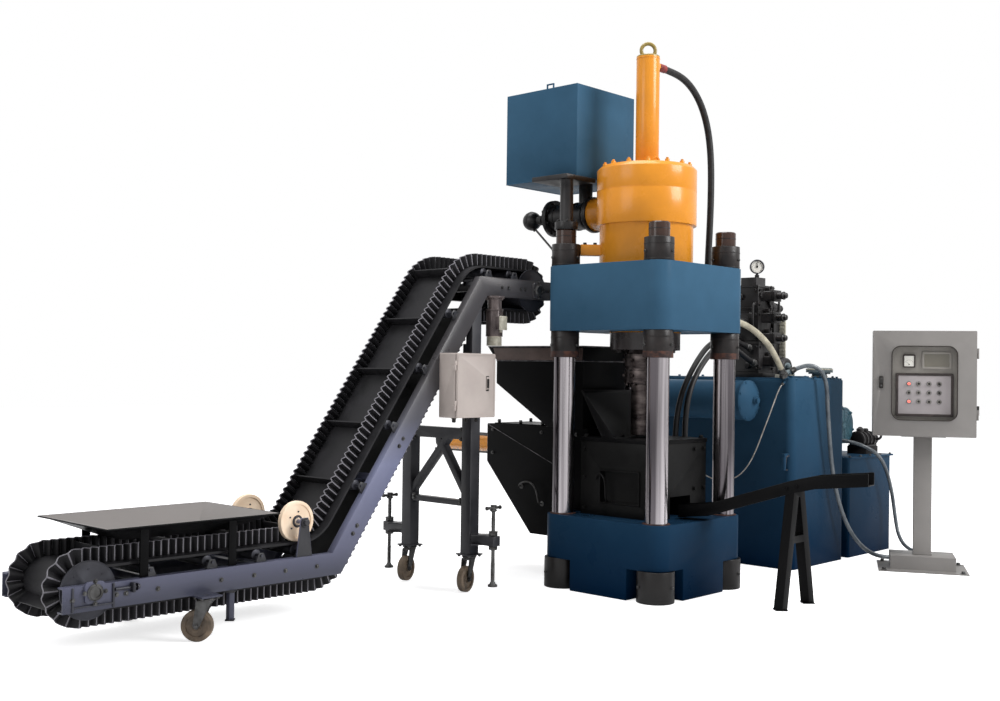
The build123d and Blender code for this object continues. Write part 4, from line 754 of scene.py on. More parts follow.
class BRIQUETTE_OT_stage(bpy.types.Operator):
    """Sets up the camera, the studio lamps, the pale floor and the white surroundings"""

    bl_idname = "briquette.stage"
    bl_label = "Stage"

    def execute(self, context):
        scene = context.scene
        scene.view_settings.view_transform = "Standard"
        camera_data = bpy.data.cameras.new("camera")
        camera_data.lens = settings().camera_lens
        camera_data.sensor_width = 36
        camera_data.clip_end = 100
        camera = bpy.data.objects.new("camera", camera_data)
        scene.collection.objects.link(camera)
        level = Vector((math.cos(CAMERA_HEADING), math.sin(CAMERA_HEADING), 0))
        ahead = level * math.cos(CAMERA_PITCH) + UP * math.sin(CAMERA_PITCH)
        right = ahead.cross(UP).normalized()
        up = right.cross(ahead)
        tilted_right = right * math.cos(CAMERA_ROLL) + up * math.sin(CAMERA_ROLL)
        tilted_up = up * math.cos(CAMERA_ROLL) - right * math.sin(CAMERA_ROLL)
        turn = Matrix((tilted_right, tilted_up, -ahead)).transposed().to_4x4()
        camera.matrix_world = Matrix.Translation(CAMERA_PLACE) @ turn
        scene.camera = camera
        for name, place, aim, size, share in LAMPS:
            lamp_data = bpy.data.lights.new(name, "AREA")
            lamp_data.shape = "SQUARE"
            lamp_data.size = size
            lamp_data.energy = settings().key_light * share
            lamp = bpy.data.objects.new(name, lamp_data)
            scene.collection.objects.link(lamp)
            lamp.location = place
            lamp.rotation_mode = "QUATERNION"
            lamp.rotation_quaternion = (Vector(aim) - Vector(place)).to_track_quat("-Z", "Y")
        clear_selection()
        bpy.ops.mesh.primitive_plane_add(size=60, location=(0, 0, -0.002))
        floor = context.object
        floor.name = "studio_floor"
        pale = bpy.data.materials.new("pale_floor")
        pale.use_nodes = True
        tree = pale.node_tree
        shader = tree.nodes["Principled BSDF"]
        shader.inputs["Base Color"].default_value = (0.92, 0.92, 0.93, 1)
        shader.inputs["Roughness"].default_value = 0.9
        shader.inputs["Specular IOR Level"].default_value = 0.1
        # Seen straight by the camera, the floor is lifted to white, and keeps its shadow
        seen = add_node(tree, "LightPath").outputs["Is Camera Ray"]
        lift = add_node(tree, "Emission", {"Strength": seen, "Color": (0.7, 0.7, 0.7, 1)})
        both = add_node(tree, "AddShader", {0: shader.outputs[0], 1: lift.outputs[0]})
        feed(tree, tree.nodes["Material Output"].inputs["Surface"], both.outputs[0])
        floor.data.materials.append(pale)
        scene.world = bpy.data.worlds.new("studio")
        scene.world.use_nodes = True
        tree = scene.world.node_tree
        tree.nodes.clear()
        # White where it is seen, mirrored or seen through, and dimmer as a light
        path = add_node(tree, "LightPath").outputs
        bright = maths(tree, "MAXIMUM", path["Is Glossy Ray"], path["Is Transmission Ray"])
        seen = maths(tree, "MAXIMUM", path["Is Camera Ray"], bright)
        strength = add_node(tree, "MapRange", {"Value": seen, "To Min": 0.38, "To Max": 1.0})
        inputs = {"Color": (1, 1, 1, 1), "Strength": strength.outputs["Result"]}
        light = add_node(tree, "Background", inputs)
        add_node(tree, "OutputWorld", {0: light.outputs[0]})
        return {"FINISHED"}


# Hoses: diameter, length in metres, slot, stiffness, lay and given points
HOSES = {
    "top_hose": (46, 2.521, "hose_black", "stiff", "hanging", [
        (100, 0, 3365), (235, 0, 3365), (400, 0, 3346), (530, 0, 3285), (640, 0, 3175),
        (712, 0, 3020), (744, 0, 2830), (750, 2, 2600), (748, 8, 2370), (752, 22, 2150),
        (790, 50, 1960), (900, 85, 1830), (1050, 120, 1768), (1220, 150, 1745), (1400, 150, 1745),
    ]),
    "drain_hose": (42, 0.896, "hose_beige", "stiff", "hanging", [
        (485, -250, 1706), (570, -250, 1718), (670, -251, 1722), (785, -253, 1706),
        (905, -257, 1668), (1020, -262, 1612), (1118, -268, 1543), (1196, -275, 1456),
        (1258, -281, 1372),
    ]),
    "ram_hose_a": (38, 1.530, "hose_black", "stiff", "hanging", [
        (1405, 90, 1560), (1280, 76, 1590), (1145, 56, 1612), (1000, 34, 1620), (850, 14, 1600),
        (715, 2, 1548), (612, -1, 1468), (520, -3, 1376), (440, -4, 1277), (384, -5, 1166),
        (355, -6, 1055), (343, -6, 950), (340, -6, 862),
    ]),
    "ram_hose_b": (38, 1.522, "hose_black", "stiff", "hanging", [
        (1405, 50, 1450), (1290, 32, 1478), (1160, 7, 1520), (1020, -20, 1552),
        (885, -42, 1568), (765, -56, 1555), (666, -62, 1508), (575, -63, 1440),
        (495, -62, 1358), (430, -61, 1265), (394, -60, 1160), (378, -60, 1050),
        (373, -60, 950), (372, -60, 862),
    ]),
    "tank_conduit": (30, 2.301, "conduit_grey", "limp", "loose", [
        (1392, -262, 1392), (1450, -318, 1430), (1512, -372, 1438), (1564, -412, 1398),
        (1592, -432, 1325), (1606, -436, 1240), (1622, -430, 1150), (1645, -427, 1040),
        (1668, -424, 920), (1695, -421, 800), (1725, -420, 680), (1762, -422, 565),
        (1805, -428, 455), (1850, -440, 350), (1902, -458, 255), (1965, -484, 165),
        (2040, -520, 90), (2125, -560, 42), (2215, -608, 22), (2290, -668, 20),
        (2340, -744, 26), (2348, -830, 36), (2316, -893, 46), (2246, -936, 50),
    ]),
    "cabinet_conduit": (28, 1.683, "conduit_grey", "limp", "loose", [
        (2235, -205, 872), (2250, -290, 862), (2295, -370, 835), (2368, -430, 790),
        (2448, -452, 725), (2522, -456, 640), (2583, -456, 545), (2627, -457, 445),
        (2650, -462, 340), (2652, -476, 235), (2633, -505, 142), (2600, -562, 74),
        (2558, -645, 42), (2513, -738, 34), (2462, -826, 38), (2402, -900, 46),
        (2342, -954, 50), (2274, -990, 52),
    ]),
    "sensor_cable": (8, 1.250, "cable_white", "limp", "hanging", [
        (1243, -290, 1305), (1218, -286, 1290), (1204, -272, 1250), (1200, -246, 1180),
        (1200, -215, 1100), (1200, -180, 1015), (1200, -139, 915), (1200, -95, 810),
        (1200, -40, 715), (1200, 25, 645), (1200, 98, 605), (1200, 175, 590),
        (1201, 255, 598), (1203, 330, 625), (1210, 395, 660), (1228, 450, 680),
        (1250, 487, 688),
    ]),
}  # fmt: skip


class BRIQUETTE_OT_hoses(bpy.types.Operator):
    """Lays the hoses, conduits and the sensor cable along their routes"""

    bl_idname = "briquette.hoses"
    bl_label = "Hoses and cables"

    def execute(self, context):
        for name, (diameter, length, slot, stiffness, lay, route) in HOSES.items():
            line = smooth_line(name + "_line", route, diameter, 5, 10)
            hose = bpy.data.objects.new(name + "_hose", line)
            context.scene.collection.objects.link(hose)
            line.materials.append(finish(slot))
            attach(hose, "machine")
            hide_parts(name)
        return {"FINISHED"}


# How far the edges of castings and sheet metal are rounded
EDGE_ROUNDING = {
    "press_base": 7, "crosshead": 6, "column_nuts": 3, "main_cylinder": 4, "cylinder_cap": 3,
    "rapid_tube": 2, "prefill_tank": 3, "prefill_valve": 2.5, "tank_post": 2.5, "ram": 2,
    "mould_body": 3, "guide_funnel": 1.2, "ejector_slide": 2, "discharge_chute": 1.2,
    "feed_box": 1.5, "feed_hopper": 1.5, "feed_cylinder": 2, "conveyor_frame": 2,
    "leg_frame": 2.5, "loading_tray": 1, "tail_drum": 1.5, "head_drum": 1.5,
    "gearmotor": 2, "starter_box": 1.5, "starter_door": 1.8, "oil_cooler": 2,
    "valve_manifold": 2.5, "pump_motor": 3, "aux_tank": 3, "cabinet_stand": 2.5,
    "cabinet_box": 2, "cabinet_door": 2, "cabinet_latch": 1.5, "main_switch": 2,
    "oil_tank": 3,
}  # fmt: skip


class BRIQUETTE_OT_shells(bpy.types.Operator):
    """Rounds the edges of the castings, housings and sheet metal, and paints every part"""

    bl_idname = "briquette.shells"
    bl_label = "Castings and sheet metal"

    def execute(self, context):
        slots = {part["node"]: part["material_slot"] for part in frame["record"]["subparts"]}
        for node, original in frame["nodes"].items():
            if node in HOSES or node == "sidewall_belt":
                continue
            if node not in EDGE_ROUNDING:
                original.data.materials.clear()
                original.data.materials.append(node_finish(node) or finish(slots[node]))
                continue
            shell = original.copy()
            shell.data = original.data.copy()
            shell.parent = None
            context.scene.collection.objects.link(shell)
            shell.matrix_world = Matrix.Identity(4)
            for key in list(shell.keys()):
                del shell[key]
            pick(shell)
            edit_all()
            bpy.ops.mesh.remove_doubles(threshold=0.00002)
            bpy.ops.mesh.dissolve_limited(angle_limit=math.radians(0.6))
            bpy.ops.object.mode_set(mode="OBJECT")
            soften_edges(shell, EDGE_ROUNDING[node])
            dress(shell, node + "_shell", slots[node], node_finish(node), original["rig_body"])
            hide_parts(node)
        return {"FINISHED"}


# The belt's course in side view
def bend_points(corner, before, after, radius, step):
    """Points round one bend, from its first tangent point to its last."""
    into = (Vector(corner) - Vector(before)).normalized()
    out = (Vector(after) - Vector(corner)).normalized()
    angle = math.atan2(into.x * out.y - into.y * out.x, into.dot(out))
    start = Vector(corner) - into * radius * math.tan(abs(angle) / 2)
    centre = start + Vector((-into.y, into.x)) * math.copysign(radius, angle)
    count = max(2, round(abs(angle) * radius / step))
    arm = start - centre
    points = []
    for index in range(count + 1):
        cosine, sine = math.cos(angle * index / count), math.sin(angle * index / count)
        points.append(centre + Vector((arm.x * cosine - arm.y * sine, arm.x * sine + arm.y * cosine)))
    return points


def belt_course(step):
    """The closed loop of the belt's inner surface as (point, outward direction) pairs."""
    half_turn = math.tan(INCLINE / 2)
    carry = BELT_LOW - RAIL_TOP
    tail_x, tail_z, tail_radius = TAIL_DRUM
    head_x, head_z, head_radius = HEAD_DRUM
    return_low = BELT_LOW - 2 * tail_radius
    return_high = BELT_HIGH - 2 * head_radius
    back_bend = LOWER_BEND_X + (RAIL_TOP - return_low) * half_turn
    back_top = back_bend + (return_high - return_low) / math.tan(INCLINE)
    carrying = [
        (tail_x, BELT_LOW),
        (LOWER_BEND_X - carry * half_turn, BELT_LOW),
        (UPPER_BEND_X - carry * half_turn, BELT_HIGH),
        (head_x, BELT_HIGH),
    ]
    returning = [
        (head_x, return_high),
        (back_top, return_high),
        (back_bend, return_low),
        (tail_x, return_low),
    ]
    knots = [Vector(carrying[0])]
    for line, centre, radius, first in (
        (carrying, (head_x, head_z), head_radius, math.pi / 2),
        (returning, (tail_x, tail_z), tail_radius, -math.pi / 2),
    ):
        for before, corner, after in zip(line, line[1:], line[2:]):
            knots += bend_points(corner, before, after, BELT_BEND, step)
        knots.append(Vector(line[-1]))
        count = round(math.pi * radius / step)
        for index in range(1, count + 1):
            swing = first - math.pi * index / count
            knots.append(Vector(centre) + Vector((math.cos(swing), math.sin(swing))) * radius)
    points = []
    for first, last in zip(knots, knots[1:] + knots[:1]):
        length = (last - first).length
        if length >= 0.01:
            count = max(1, round(length / step))
            points += [first.lerp(last, index / count) for index in range(count)]
    course = []
    for index, point in enumerate(points):
        along = (points[(index + 1) % len(points)] - points[index - 1]).normalized()
        course.append((point, Vector((-along.y, along.x))))
    return course


def course_lengths(course, height):
    """Distance along the loop at the given height, for each of the course's points, and the whole."""
    places = [point + outward * height for point, outward in course]
    total = 0
    lengths = []
    for index, place in enumerate(places):
        lengths.append(total)
        total += (places[(index + 1) % len(places)] - place).length
    return lengths, total


def wrapped_grid(course, rows, place, mark):
    """A band round the loop: place(index, row) gives each vertex, and mark(column, row) its UV."""
    clear_selection()
    bpy.ops.mesh.primitive_grid_add(x_subdivisions=len(course), y_subdivisions=rows - 1, size=1)
    piece = bpy.context.object
    columns = len(course) + 1
    for number, vertex in enumerate(piece.data.vertices):
        row, column = divmod(number, columns)
        vertex.co = mm(*place(column % len(course), row))
    layer = piece.data.uv_layers.active
    for loop in piece.data.loops:
        row, column = divmod(loop.vertex_index, columns)
        layer.data[loop.index].uv = mark(column, row)
    edit_all()
    bpy.ops.mesh.remove_doubles(threshold=0.0001)
    bpy.ops.object.mode_set(mode="OBJECT")
    return piece


def belt_finish():
    """Black rubber with a pale line on each fold of the walls and along their top edge, painted highlights on
    the crests and the rim.
    """
    material = finish("belt_rubber")
    tree = material.node_tree
    mark = add_node(tree, "UVMap", uv_map="UVMap").outputs["UV"]
    split = add_node(tree, "SeparateXYZ", {"Vector": mark}).outputs
    # Pale lines on the fold crests and along the rim: painted highlights
    on_fold = maths(tree, "LESS_THAN", maths(tree, "PINGPONG", split["X"], 0.5), 0.05)
    on_wall = maths(tree, "GREATER_THAN", split["Y"], 0.1)
    on_rim = maths(tree, "GREATER_THAN", split["Y"], 0.965)
    painted_highlight_lines = maths(tree, "MAXIMUM", maths(tree, "MULTIPLY", on_fold, on_wall), on_rim)
    return put_over(material, painted_highlight_lines, srgb(118, 116, 122))


WALL_ROWS = 4
WALL_ROW_HEIGHT = 27
WALL_INSET = 68
CLEAT_PITCH = 380


class BRIQUETTE_OT_belt(bpy.types.Operator):
    """Makes the belt with its two corrugated walls and the cleats between them"""

    bl_idname = "briquette.belt"
    bl_label = "Corrugated belt"

    def execute(self, context):
        course = belt_course(WALL_PITCH / 8)
        lengths, total = course_lengths(course, BELT_THICK)
        folds = round(total / WALL_PITCH)
        pitch = total / folds
        swing = settings().wall_fold * 1000
        near, far, thick = BELT_NEAR, BELT_FAR, BELT_THICK
        section = [(near, 0), (far, 0), (far, thick), (near, thick), (near, 0)]

        def band_place(index, row):
            point, outward = course[index]
            across, height = section[row]
            place = point + outward * height
            return (place.x, across, place.y)

        parts = [wrapped_grid(course, len(section), band_place, lambda column, row: (0.5, 0.0))]
        for middle, side in ((BELT_NEAR + WALL_INSET, 1), (BELT_FAR - WALL_INSET, -1)):

            def wall_place(index, row, middle=middle, side=side):
                point, outward = course[index]
                sway = -side * swing * math.cos(2 * math.pi * lengths[index] / pitch)
                place = point + outward * (BELT_THICK - 1 + row * WALL_ROW_HEIGHT)
                return (place.x, middle + sway, place.y)

            def wall_mark(column, row):
                along = folds if column == len(course) else lengths[column] / pitch
                return (along, row / (WALL_ROWS - 1))

            wall = wrapped_grid(course, WALL_ROWS, wall_place, wall_mark)
            apply_modifier(wall, "SOLIDIFY", thickness=0.006, offset=0)
            parts.append(wall)
        cleats = round(total / CLEAT_PITCH)
        for number in range(cleats):
            distance = (number + 0.4) * total / cleats
            index = min(range(len(course)), key=lambda item: abs(lengths[item] - distance))
            point, outward = course[index]
            foot = point + outward * (BELT_THICK - 1)
            place = (foot.x, (BELT_NEAR + BELT_FAR) / 2, foot.y)
            along = (-outward.y, 0, outward.x)
            parts.append(block((9, 360, 63), 3, place, (outward.x, 0, outward.y), along))
        piece = joined(parts)
        pick(piece)
        edit_all()
        close_mesh()
        dress(piece, "corrugated_belt", "belt_rubber", belt_finish(), smooth=40)
        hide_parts("sidewall_belt")
        return {"FINISHED"}


def slope_z(x, above):
    """Height at x of the line that lies the given height square above the incline's rails."""
    corner = LOWER_BEND_X - above * math.tan(INCLINE / 2)
    return RAIL_TOP + above + (x - corner) * math.tan(INCLINE)


class BRIQUETTE_OT_conveyor_fittings(bpy.types.Operator):
    """Adds the bearings, take-up frames, idlers, screws and struts of the conveyor"""

    bl_idname = "briquette.conveyor_fittings"
    bl_label = "Conveyor fittings"

    def execute(self, context):
        middle_z = RAIL_TOP - RAIL_MIDDLE
        spots = [(x, middle_z) for x in (-3560, -3340, -3290, -3120, -2760, -2560, -2360, -2150)]
        spots += [(x, slope_z(x, -RAIL_MIDDLE)) for x in (-1900, -1870, -1560, -1530, -1220, -1190)]
        spots += [(x, middle_z + LIFT) for x in (-700, -640, -520, -480, -250)]
        places = [((x, side, z), facing) for x, z in spots for side, facing in RAILS]
        dress(screws(15, places), "rail_screws", "jack_steel")

        # Flanged bearings with their screws and grease nipples
        bearings = []
        for drum_x, drum_z, _ in (TAIL_DRUM, HEAD_DRUM):
            for side, facing in ((RAIL_NEAR - 14, NEAR), (RAIL_FAR + 14, FAR)):
                middle = Vector((drum_x, side, drum_z))
                flange = [(0, 40), (4, 40), (10, 33), (14, 33), (14, 23), (9, 22)]
                bearings.append(spun(flange, 32, middle, facing))
                bearings += screws(13, circle_places(middle, facing, 52, 4, 45))
                nipple = [(0, 4), (6, 4), (6, 2.6), (12, 2.6), (14, 1.6)]
                bearings.append(spun(nipple, 10, middle + UP * 30 + facing * 6))
        dress(bearings, "drum_bearings", "jack_steel")

        # Take-up frames: strips round the slot, the threaded rod with its nut, and the lug that it pulls
        plates = []
        screw_z = TAIL_DRUM[1]
        for side, facing in RAILS:
            for x in (-3560, -3356):
                plates.append(block((10, 112, 7), 1.2, (x, side, middle_z), facing, AHEAD))
            for z in (middle_z - 36, middle_z, middle_z + 36):
                if abs(z - screw_z) > 30:
                    plates.append(block((196, 7, 7), 1.2, (-3458, side, z), facing, AHEAD))
            rod_y = side - 8 if side == RAIL_NEAR else side + 8
            plates.append(spun([(0, 8), (112, 8)], 16, (-3350, rod_y, screw_z), AHEAD))
            plates += screws(22, [((-3240, rod_y, screw_z), AHEAD)])
            plates.append(block((14, 46, 30), 2, (-3262, side, screw_z), facing, AHEAD))
        dress(plates, "take_up_frames", "drum_steel")

        # Idlers: a roller below the belt on a bracket at each rail
        rollers, brackets = [], []
        spots = [((x, RAIL_TOP), UP, AHEAD) for x in (-3150, -2800, -2500, -2250)]
        spots += [((x, slope_z(x, 0)), SLOPE_UP, SLOPE) for x in (-1800, -1560, -1320, -1080)]
        spots += [((x, RAIL_TOP + LIFT), UP, AHEAD) for x in (-800, -560)]
        for (x, z), up, along in spots:
            axle = Vector((x, 0, z)) + up * 32
            roller = [(0, 26), (2, 29), (486, 29), (488, 26)]
            rollers.append(spun(roller, 24, (axle.x, BELT_NEAR + 6, axle.z), FAR))
            rollers.append(spun([(0, 8), (596, 8)], 14, (axle.x, RAIL_NEAR + 14, axle.z), FAR))
            for side in (RAIL_NEAR + 22, RAIL_FAR - 28):
                foot = plate([(-34, 0), (34, 0), (16, 46), (-16, 46)], 6)
                brackets.append(placed(foot, (x, side + 6, z), NEAR, along))
                brackets.append(block((60, 26, 6), 1, (x, side + 12, z), up, along))
        dress(rollers, "idler_rollers", "drum_steel")
        dress(brackets, "idler_brackets", "frame_grey")

        # Angle bars inside the incline's rails, and short welds where the legs meet it
        struts = []
        for x in (-1850, -1620, -1390, -1160):
            for side in (RAIL_NEAR + 32, RAIL_FAR - 32):
                struts.append(block((34, 40, 5), 1, (x, side, slope_z(x, -52)), SLOPE_UP, SLOPE))
        for x in (LEG_X - 40, LEG_X + 40):
            for side in (RAIL_NEAR + 3, RAIL_FAR - 3):
                top = slope_z(x, -RAIL_HEIGHT)
                struts += rods([(x, side, top), (x, side, top - 14)], 5)
        dress(struts, "incline_struts", "frame_grey")

        # The press wheels' bracket webs, axle nuts and hubs
        wheel_x, wheel_z = PRESS_WHEEL
        caps = []
        for side, facing in ((RAIL_NEAR + 8, NEAR), (RAIL_FAR - 8, FAR)):
            web = plate([(-50, 0), (50, 0), (23, 205), (-23, 205)], 1.5, 0.5)
            caps.append(placed(web, (wheel_x, side, RAIL_TOP + 2), facing, AHEAD))
            caps.append(placed(hexagon_screw(30, 16), Vector((wheel_x, side, wheel_z)) + facing * 6, facing))
        dress(caps, "wheel_brackets", "frame_grey")
        for middle, end in ((697.5, "near"), (1147.5, "far")):
            parts = []
            for facing in (NEAR, FAR):
                face = Vector((wheel_x, middle, wheel_z)) + facing * 9
                parts.append(ring([(0, 13), (8, 13), (10, 17), (10, 30), (7, 34), (0, 34)], 32, face, facing))
                parts += socket_screws(9, circle_places(face, facing, 52, 5))
            dress(parts, end + "_wheel_hub", "drum_steel", body=end + "_press_wheel")

        # Drum end discs: a stiffening rim, a hub ring and screw heads
        for (drum_x, drum_z, _), end in ((TAIL_DRUM, "tail"), (HEAD_DRUM, "head")):
            parts = []
            for side, facing in ((DISC_NEAR, NEAR), (DISC_FAR, FAR)):
                face = Vector((drum_x, side, drum_z))
                rim = [(0, 134), (0, 139.5), (1.6, 139.5), (1.6, 134)]
                parts.append(ring(rim, 64, face - facing * 0.5, facing))
                parts.append(ring([(0, 20.5), (0, 42), (1.4, 41), (1.4, 20.5)], 32, face, facing))
                parts += copies(turned([(0, 6), (1.3, 5.5)], 16), circle_places(face, facing, 100, 8))
            dress(parts, end + "_disc_rims", "drum_steel", body=end + "_roll")

        # Foot and clamp of the stay, and the rolled rim of the tray
        stay = [
            block((46, 46, 8), 1.5, (-2690, RAIL_NEAR + 20, 73)),
            block((60, 52, 12), 1.5, (-2690, RAIL_NEAR + 20, 220)),
        ]
        dress(stay, "stay_foot", "frame_grey")
        (left, right), (near, far), z = TRAY
        corners = [(left, near, z), (right, near, z), (right, far, z), (left, far, z), (left, near, z)]
        dress(rods(corners, 8), "tray_rim", "sheet_black")
        return {"FINISHED"}


def thread_steps(low, high, root=11.3, crest=12.6, pitch=5.0):
    """Steps of a screw thread between two heights."""
    steps = []
    while low < high:
        steps += [(low, root), (low + pitch / 2, crest)]
        low += pitch
    return steps + [(low, root)]


class BRIQUETTE_OT_running_gear(bpy.types.Operator):
    """Adds the casters' screws and hubs, and the jacks' threads, nuts and arm flanges"""

    bl_idname = "briquette.running_gear"
    bl_label = "Casters and jacks"

    def execute(self, context):
        plates = []
        for x, y, name, trail, reach in (
            (LEG_X, LEG_NEAR, "head_near", 196, (45, 45)),
            (LEG_X, LEG_FAR, "head_far", 196, (45, 45)),
            (TAIL_CASTER_X, 584.5, "tail_near", 133, (48, 28)),
            (TAIL_CASTER_X, 1260.5, "tail_far", 133, (48, 28)),
        ):
            across, along = reach
            corners = [(x + dx, y + dy, 223.5) for dx in (-across, across) for dy in (-along, along)]
            plates += screws(15, [(corner, -UP) for corner in corners])
            # The wheel trails its fork's axis by 45 mm in the heading given above
            ahead = spoke(trail)
            side = -spoke(trail + 90)
            axle = Vector((x, y, 80)) + ahead * 45
            parts, hub = [], []
            for facing in (-side, side):
                parts.append(placed(hexagon_screw(17, 10), axle + facing * 29, facing))
                hub.append(ring([(0, 7), (0, 24), (7, 19), (8, 19), (8, 7)], 28, axle + facing * 13, facing))
                tread = [(0, 58), (1.5, 58), (1.5, 60), (0, 60)]
                hub.append(ring(tread, 48, axle + facing * 20.6, facing))
            parts.append(ring([(0, 30), (0, 43), (-6, 47), (-13, 43), (-13, 30)], 36, (x, y, 221)))
            dress(parts, name + "_caster_fittings", "jack_steel", body=name + "_caster")
            dress(hub, name + "_wheel_hub", "caster_tan", body=name + "_roller")
        dress(plates, "caster_screws", "jack_steel")

        for y, name in JACKS:
            foot = (LEG_X, y, 0)
            head = [(508, 13), (514, 22), (520, 22), (524, 16), (540, 16), (544, 20), (549, 20)]
            parts = [
                spun(thread_steps(76, 195), 14, foot),
                spun(thread_steps(410, 470), 14, foot),
                spun(head, 20, foot),
                ring([(64, 11.5), (64, 24), (70, 19), (80, 15), (80, 11.5)], 28, foot),
            ]
            for facing, x in ((BACK, LEG_X - 54), (AHEAD, LEG_X + 54)):
                parts.append(spun([(0, 9.4), (0.1, 12.5), (8, 12.5), (10, 10)], 18, (x, y, 532), facing))
            dress(parts, name + "_thread", "jack_steel", body=name)
        nuts, arms = [], []
        collar = [(0, 14.8), (0, 24), (4, 27), (20, 27), (24, 24), (24, 14.8)]
        for y, _ in JACKS:
            nuts += [ring(collar, 6, (LEG_X, y, z), facing) for z, facing in ((360.3, UP), (299.7, -UP))]
            nuts.append(hoop(12.9, 30, 3, 28, (LEG_X, y, 384.5)))
        for side, end in ((RAIL_NEAR, 462), (RAIL_FAR, 1383)):
            for z in (299, 355):
                arms.append(block((84, abs(end - side) - 4, 6), 1.5, (LEG_X, (side + end) / 2, z)))
        dress(arms, "jack_arm_flanges", "frame_grey")
        dress(nuts, "jack_nuts", "jack_steel")
        return {"FINISHED"}


def weld_bead(points, diameter):
    """A weld bead with its small ripples along a run, in millimetres."""
    beads = []
    low, high = diameter * 0.42, diameter * 0.52
    for start, end in zip(points, points[1:]):
        run = Vector(end) - Vector(start)
        count = max(2, round(run.length / (diameter * 0.8)))
        pitch = run.length / count
        steps = []
        for index in range(count):
            steps += [(pitch * index, low), (pitch * (index + 0.6), high)]
        beads.append(spun(steps + [(run.length, low)], 7, start, run))
    return beads


class BRIQUETTE_OT_press_fittings(bpy.types.Operator):
    """Adds the nuts' bands and grub screws, the collars' bands and the seals on the columns"""

    bl_idname = "briquette.press_fittings"
    bl_label = "Press fittings"

    def execute(self, context):
        nut_band = [(0, 90.5), (0.8, 92.4), (7, 92.4), (7.8, 90.5)]
        collar_band = [(0, 90.5), (0.8, 92.2), (9, 92.2), (9.8, 90.5)]
        hot_band = [(0, 90.5), (0.6, 91.9), (38, 91.9), (39, 90.5)]
        bands, rusty, seals, grubs = [], [], [], []
        for x, y in COLUMN_CORNERS:
            for z in (CROSSHEAD_TOP + 98, CROSSHEAD_TOP + 6):
                bands.append(ring(nut_band, 48, (x, y, z)))
            bands.append(ring([(0, 64), (1, 66), (5, 66), (6, 64)], 40, (x, y, CROSSHEAD_TOP + 190)))
            bands.append(spun([(0, 22), (3, 22), (4, 20), (4, 13), (1, 12)], 24, (x, y, CROSSHEAD_TOP + 234)))
            bands.append(ring(collar_band, 48, (x, y, CROSSHEAD_BOTTOM - 46)))
            rusty.append(ring(hot_band, 48, (x, y, CROSSHEAD_BOTTOM - 167)))
            seals.append(ring([(0, 70.6), (0, 84), (3, 84), (6, 76), (7, 70.6)], 40, (x, y, BASE_TOP)))
            for facing in (spoke(35), spoke(155), spoke(275)):
                for z, radius in ((CROSSHEAD_TOP + 55, 89.6), (CROSSHEAD_BOTTOM - 90, 89.6), (95, 113.6)):
                    grubs.append((Vector((x, y, z)) + facing * radius, facing))
        dress(bands, "nut_bands", "nut_brown")
        dress(rusty, "collar_bands", "nut_brown", finish("rusty_band"))
        dress(seals, "column_seals", "nut_brown", finish("rusty_band"))
        dress(socket_screws(18, grubs), "nut_grub_screws", "jack_steel")
        return {"FINISHED"}


